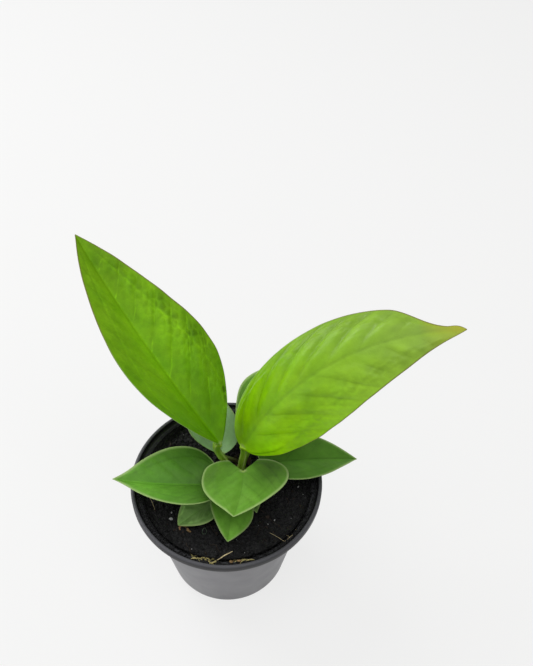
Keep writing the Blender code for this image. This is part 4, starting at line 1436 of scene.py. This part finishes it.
def drilled(pot):
    """The pot's mesh with the drain holes cut through its floor."""
    cutter = drain_cutter()
    holes = pot.modifiers.new("drain_holes", "BOOLEAN")
    holes.operation = "DIFFERENCE"
    holes.solver = "EXACT"
    holes.object = cutter
    shape = bpy.data.meshes.new_from_object(pot.evaluated_get(bpy.context.evaluated_depsgraph_get()))
    pot.modifiers.clear()
    bpy.data.objects.remove(cutter, do_unlink=True)
    shape.shade_smooth()
    shape.set_sharp_from_angle(angle=math.radians(50))
    return shape


def pot_marks(radius, z):
    """How far each place of the pot is lip, painted shade inside, and painted highlight on the shelf's
    edge.

    The shadow under the lip is painted as inside, and so for the most part is the shade on the lip's outer
    face.
    """
    within = radius < RIM_RADIUS - 0.75 * (RIM_RADIUS - LIP_INSIDE)
    # Painted shadow under the lip.
    painted_shadow_under_lip = (abs(z - LIP_FOOT) < 1.2) & (radius < RIM_RADIUS - 1.2) & (radius > SHOULDER_RADIUS + 1.0)
    inner = within & ((z > WALL) & (radius < wall_radius(z) - 0.5) | (z > SHELF - 0.8))
    # Painted shade on most of the lip's outer face.
    painted_shade_skirt = (z < POT_HEIGHT - 1.0) & (z > LIP_FOOT - 0.6) & (radius > RIM_RADIUS - 1.2)
    return {
        "lip": ease(LIP_FOOT - 1.5, LIP_FOOT + 0.5, z),
        "inside": np.maximum(inner | painted_shadow_under_lip, 0.82 * painted_shade_skirt),
        # Painted highlight along the shelf's edge.
        "worn": bell(np.hypot(radius - SHELF_EDGE + 0.3, z - SHELF), 0.6),
    }


def make_pot(colours):
    """The pot: its profile turned round the axis, closed by two floor discs, then drilled."""
    sides = 160
    profile = pot_profile()
    rings = turned(profile[:, :1], round_turns(sides)[None, :], profile[:, 1:])
    ring, last = np.arange(sides), (len(profile) - 1) * sides
    faces = list(grid_faces(len(profile), sides, around=True)) + [ring, last + ring[::-1]]
    pot = new_piece("nursery_pot", rings.reshape(-1, 3), faces, [plastic_material(colours)])
    pot.data = drilled(pot)
    points = np.zeros(3 * len(pot.data.vertices))
    pot.data.vertices.foreach_get("co", points)
    x, y, z = points.reshape(-1, 3).T / MM
    add_marks(pot.data, pot_marks(np.hypot(x, y), z))
    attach(pot, "root")
    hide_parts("pot")


# --- stage ------------------------------------------------------------------------------------
FLOOR_GLOW = 0.84                       # how much of the floor's colour doesn't depend on the light
WORLD_LIGHT = 0.36
LAMPS = (                               # name, place and target in metres, size, watts
    ("lamp_high", (-0.81, 0.68, 1.06), (0.0, 0.03, 0.12), 0.9, 13.0),
    ("lamp_top", (0.12, -0.25, 1.5), (0.0, 0.0, 0.1), 1.1, 8.0),
    ("lamp_left", (-1.25, -0.25, 0.42), (0.0, 0.0, 0.06), 0.8, 3.2),
)
# The camera's values come from a fit to the pot's rim and base, rounded.
CAMERA_AT = np.array([0.0219, -0.2533, 0.4979])
CAMERA_PITCH = math.radians(47.13)      # how far it looks down
CAMERA_ROLL = math.radians(1.88)
CAMERA_LENS = 40.54                     # for a sensor 36 mm wide


def make_floor(colours):
    """A wide pale floor just under the pot."""
    reach, low = 6000.0, -0.2
    points = [(-reach, -reach, low), (reach, -reach, low), (reach, reach, low), (-reach, reach, low)]
    floor = new_piece("floor", points, [[0, 1, 2, 3]], [floor_material(colours)])


def area_lamp(name, place, target, size, power):
    """A square soft lamp at a place, aimed at a target, in metres and watts."""
    data = bpy.data.lights.new(name, "AREA")
    data.shape = "SQUARE"
    data.size = size
    data.energy = power
    lamp = bpy.data.objects.new(name, data)
    bpy.context.scene.collection.objects.link(lamp)
    lamp.matrix_world = aimed(place, target)


def aimed(place, target, roll=0.0):
    """A matrix at a place whose -Z looks at a target, rolled about its view."""
    place, target = np.array(place, dtype=float), np.array(target, dtype=float)
    back = unit(place - target)
    right = unit(np.cross(np.array([0.0, 0.0, 1.0]), back))
    up = np.cross(back, right)
    across = right * math.cos(roll) + up * math.sin(roll)
    upright = up * math.cos(roll) - right * math.sin(roll)
    matrix = np.eye(4)
    matrix[:3] = np.stack([across, upright, back, place], axis=1)
    return Matrix(matrix.tolist())


def make_light(colours):
    """Even pale surroundings and three soft lamps: high behind, overhead, and low on the left."""
    world = bpy.data.worlds.new("studio")
    bpy.context.scene.world = world
    world.use_nodes = True
    nodes, links = world.node_tree.nodes, world.node_tree.links
    back = nodes["Background"]
    back.inputs["Strength"].default_value = WORLD_LIGHT
    back.inputs["Color"].default_value = (1.0, 1.0, 1.0, 1.0)
    seen = nodes.new("ShaderNodeBackground")
    seen.inputs["Color"].default_value = (*colours.floor, 1.0)
    mixed = nodes.new("ShaderNodeMixShader")
    rays = nodes.new("ShaderNodeLightPath")
    links.new(rays.outputs["Is Camera Ray"], mixed.inputs[0])
    links.new(back.outputs[0], mixed.inputs[1])
    links.new(seen.outputs[0], mixed.inputs[2])
    links.new(mixed.outputs[0], nodes["World Output"].inputs["Surface"])
    for lamp in LAMPS:
        area_lamp(*lamp)


def make_camera():
    """A camera above the front of the pot, looking down at it."""
    data = bpy.data.cameras.new("camera")
    data.sensor_width = 36.0
    data.lens = CAMERA_LENS
    camera = bpy.data.objects.new("camera", data)
    bpy.context.scene.collection.objects.link(camera)
    view = np.array([0.0, math.cos(CAMERA_PITCH), -math.sin(CAMERA_PITCH)])
    camera.matrix_world = aimed(CAMERA_AT, CAMERA_AT + view, CAMERA_ROLL)
    bpy.context.scene.camera = camera


# --- operators and panel ----------------------------------------------------------------------
class Maker:
    """What the operators share: each one's make() builds its pieces from the scene's settings."""

    def execute(self, context):
        """Run make() with the sizes and colours of the scene."""
        self.make(context.scene.anthurium_sizes, context.scene.anthurium_colours)
        return {"FINISHED"}


class ANTHURIUM_OT_blades(Maker, Operator):
    """Make the ten quilted blades."""

    bl_idname = "anthurium.blades"
    bl_label = "Blades"

    def make(self, sizes, colours):
        for leaf in LEAVES:
            make_blade(leaf, sizes, colours)


class ANTHURIUM_OT_stalks(Maker, Operator):
    """Make the ten channelled stalks."""

    bl_idname = "anthurium.stalks"
    bl_label = "Stalks"

    def make(self, sizes, colours):
        skin = stalk_material(colours)
        for leaf in LEAVES:
            make_stalk(leaf, skin)


class ANTHURIUM_OT_crown(Maker, Operator):
    """Make the crown and its dry sheaths."""

    bl_idname = "anthurium.crown"
    bl_label = "Crown"

    def make(self, sizes, colours):
        make_crown(colours)
        make_sheaths(colours)


class ANTHURIUM_OT_mix(Maker, Operator):
    """Make the potting mix with its loose bits and fibres."""

    bl_idname = "anthurium.mix"
    bl_label = "Potting mix"

    def make(self, sizes, colours):
        make_mix(sizes, colours)
        make_bits(sizes, colours)
        make_fibres(sizes, colours)


class ANTHURIUM_OT_pot(Maker, Operator):
    """Make the nursery pot."""

    bl_idname = "anthurium.pot"
    bl_label = "Nursery pot"

    def make(self, sizes, colours):
        make_pot(colours)


class ANTHURIUM_OT_stage(Maker, Operator):
    """Make the floor, the light and the camera."""

    bl_idname = "anthurium.stage"
    bl_label = "Stage"

    def make(self, sizes, colours):
        make_floor(colours)
        make_light(colours)
        make_camera()
        bpy.context.scene.view_settings.view_transform = "Standard"


PIECES = (
    ANTHURIUM_OT_pot,
    ANTHURIUM_OT_mix,
    ANTHURIUM_OT_crown,
    ANTHURIUM_OT_stalks,
    ANTHURIUM_OT_blades,
    ANTHURIUM_OT_stage,
)


class ANTHURIUM_PT_panel(Panel):
    """Lists the pieces of the potted anthurium and their settings."""

    bl_idname = "ANTHURIUM_PT_panel"
    bl_label = "Potted anthurium"
    bl_space_type = "VIEW_3D"
    bl_region_type = "UI"
    bl_category = "Anthurium"

    def draw(self, context):
        for piece in PIECES:
            self.layout.operator(piece.bl_idname)
        for group in (context.scene.anthurium_sizes, context.scene.anthurium_colours):
            column = self.layout.column()
            for label in group.__annotations__:
                column.prop(group, label)


CLASSES = (AnthuriumSizes, AnthuriumColours, *PIECES, ANTHURIUM_PT_panel)


def register():
    """Register the classes and hang the settings on the scene."""
    for kind in CLASSES:
        bpy.utils.register_class(kind)
    bpy.types.Scene.anthurium_sizes = PointerProperty(type=AnthuriumSizes)
    bpy.types.Scene.anthurium_colours = PointerProperty(type=AnthuriumColours)


def unregister():
    """Undo register."""
    del bpy.types.Scene.anthurium_colours
    del bpy.types.Scene.anthurium_sizes
    for kind in reversed(CLASSES):
        bpy.utils.unregister_class(kind)


def main():
    """Make every piece in order."""
    register()
    bpy.ops.anthurium.pot()
    bpy.ops.anthurium.mix()
    bpy.ops.anthurium.crown()
    bpy.ops.anthurium.stalks()
    bpy.ops.anthurium.blades()
    bpy.ops.anthurium.stage()


if __name__ == "__main__":
    main()
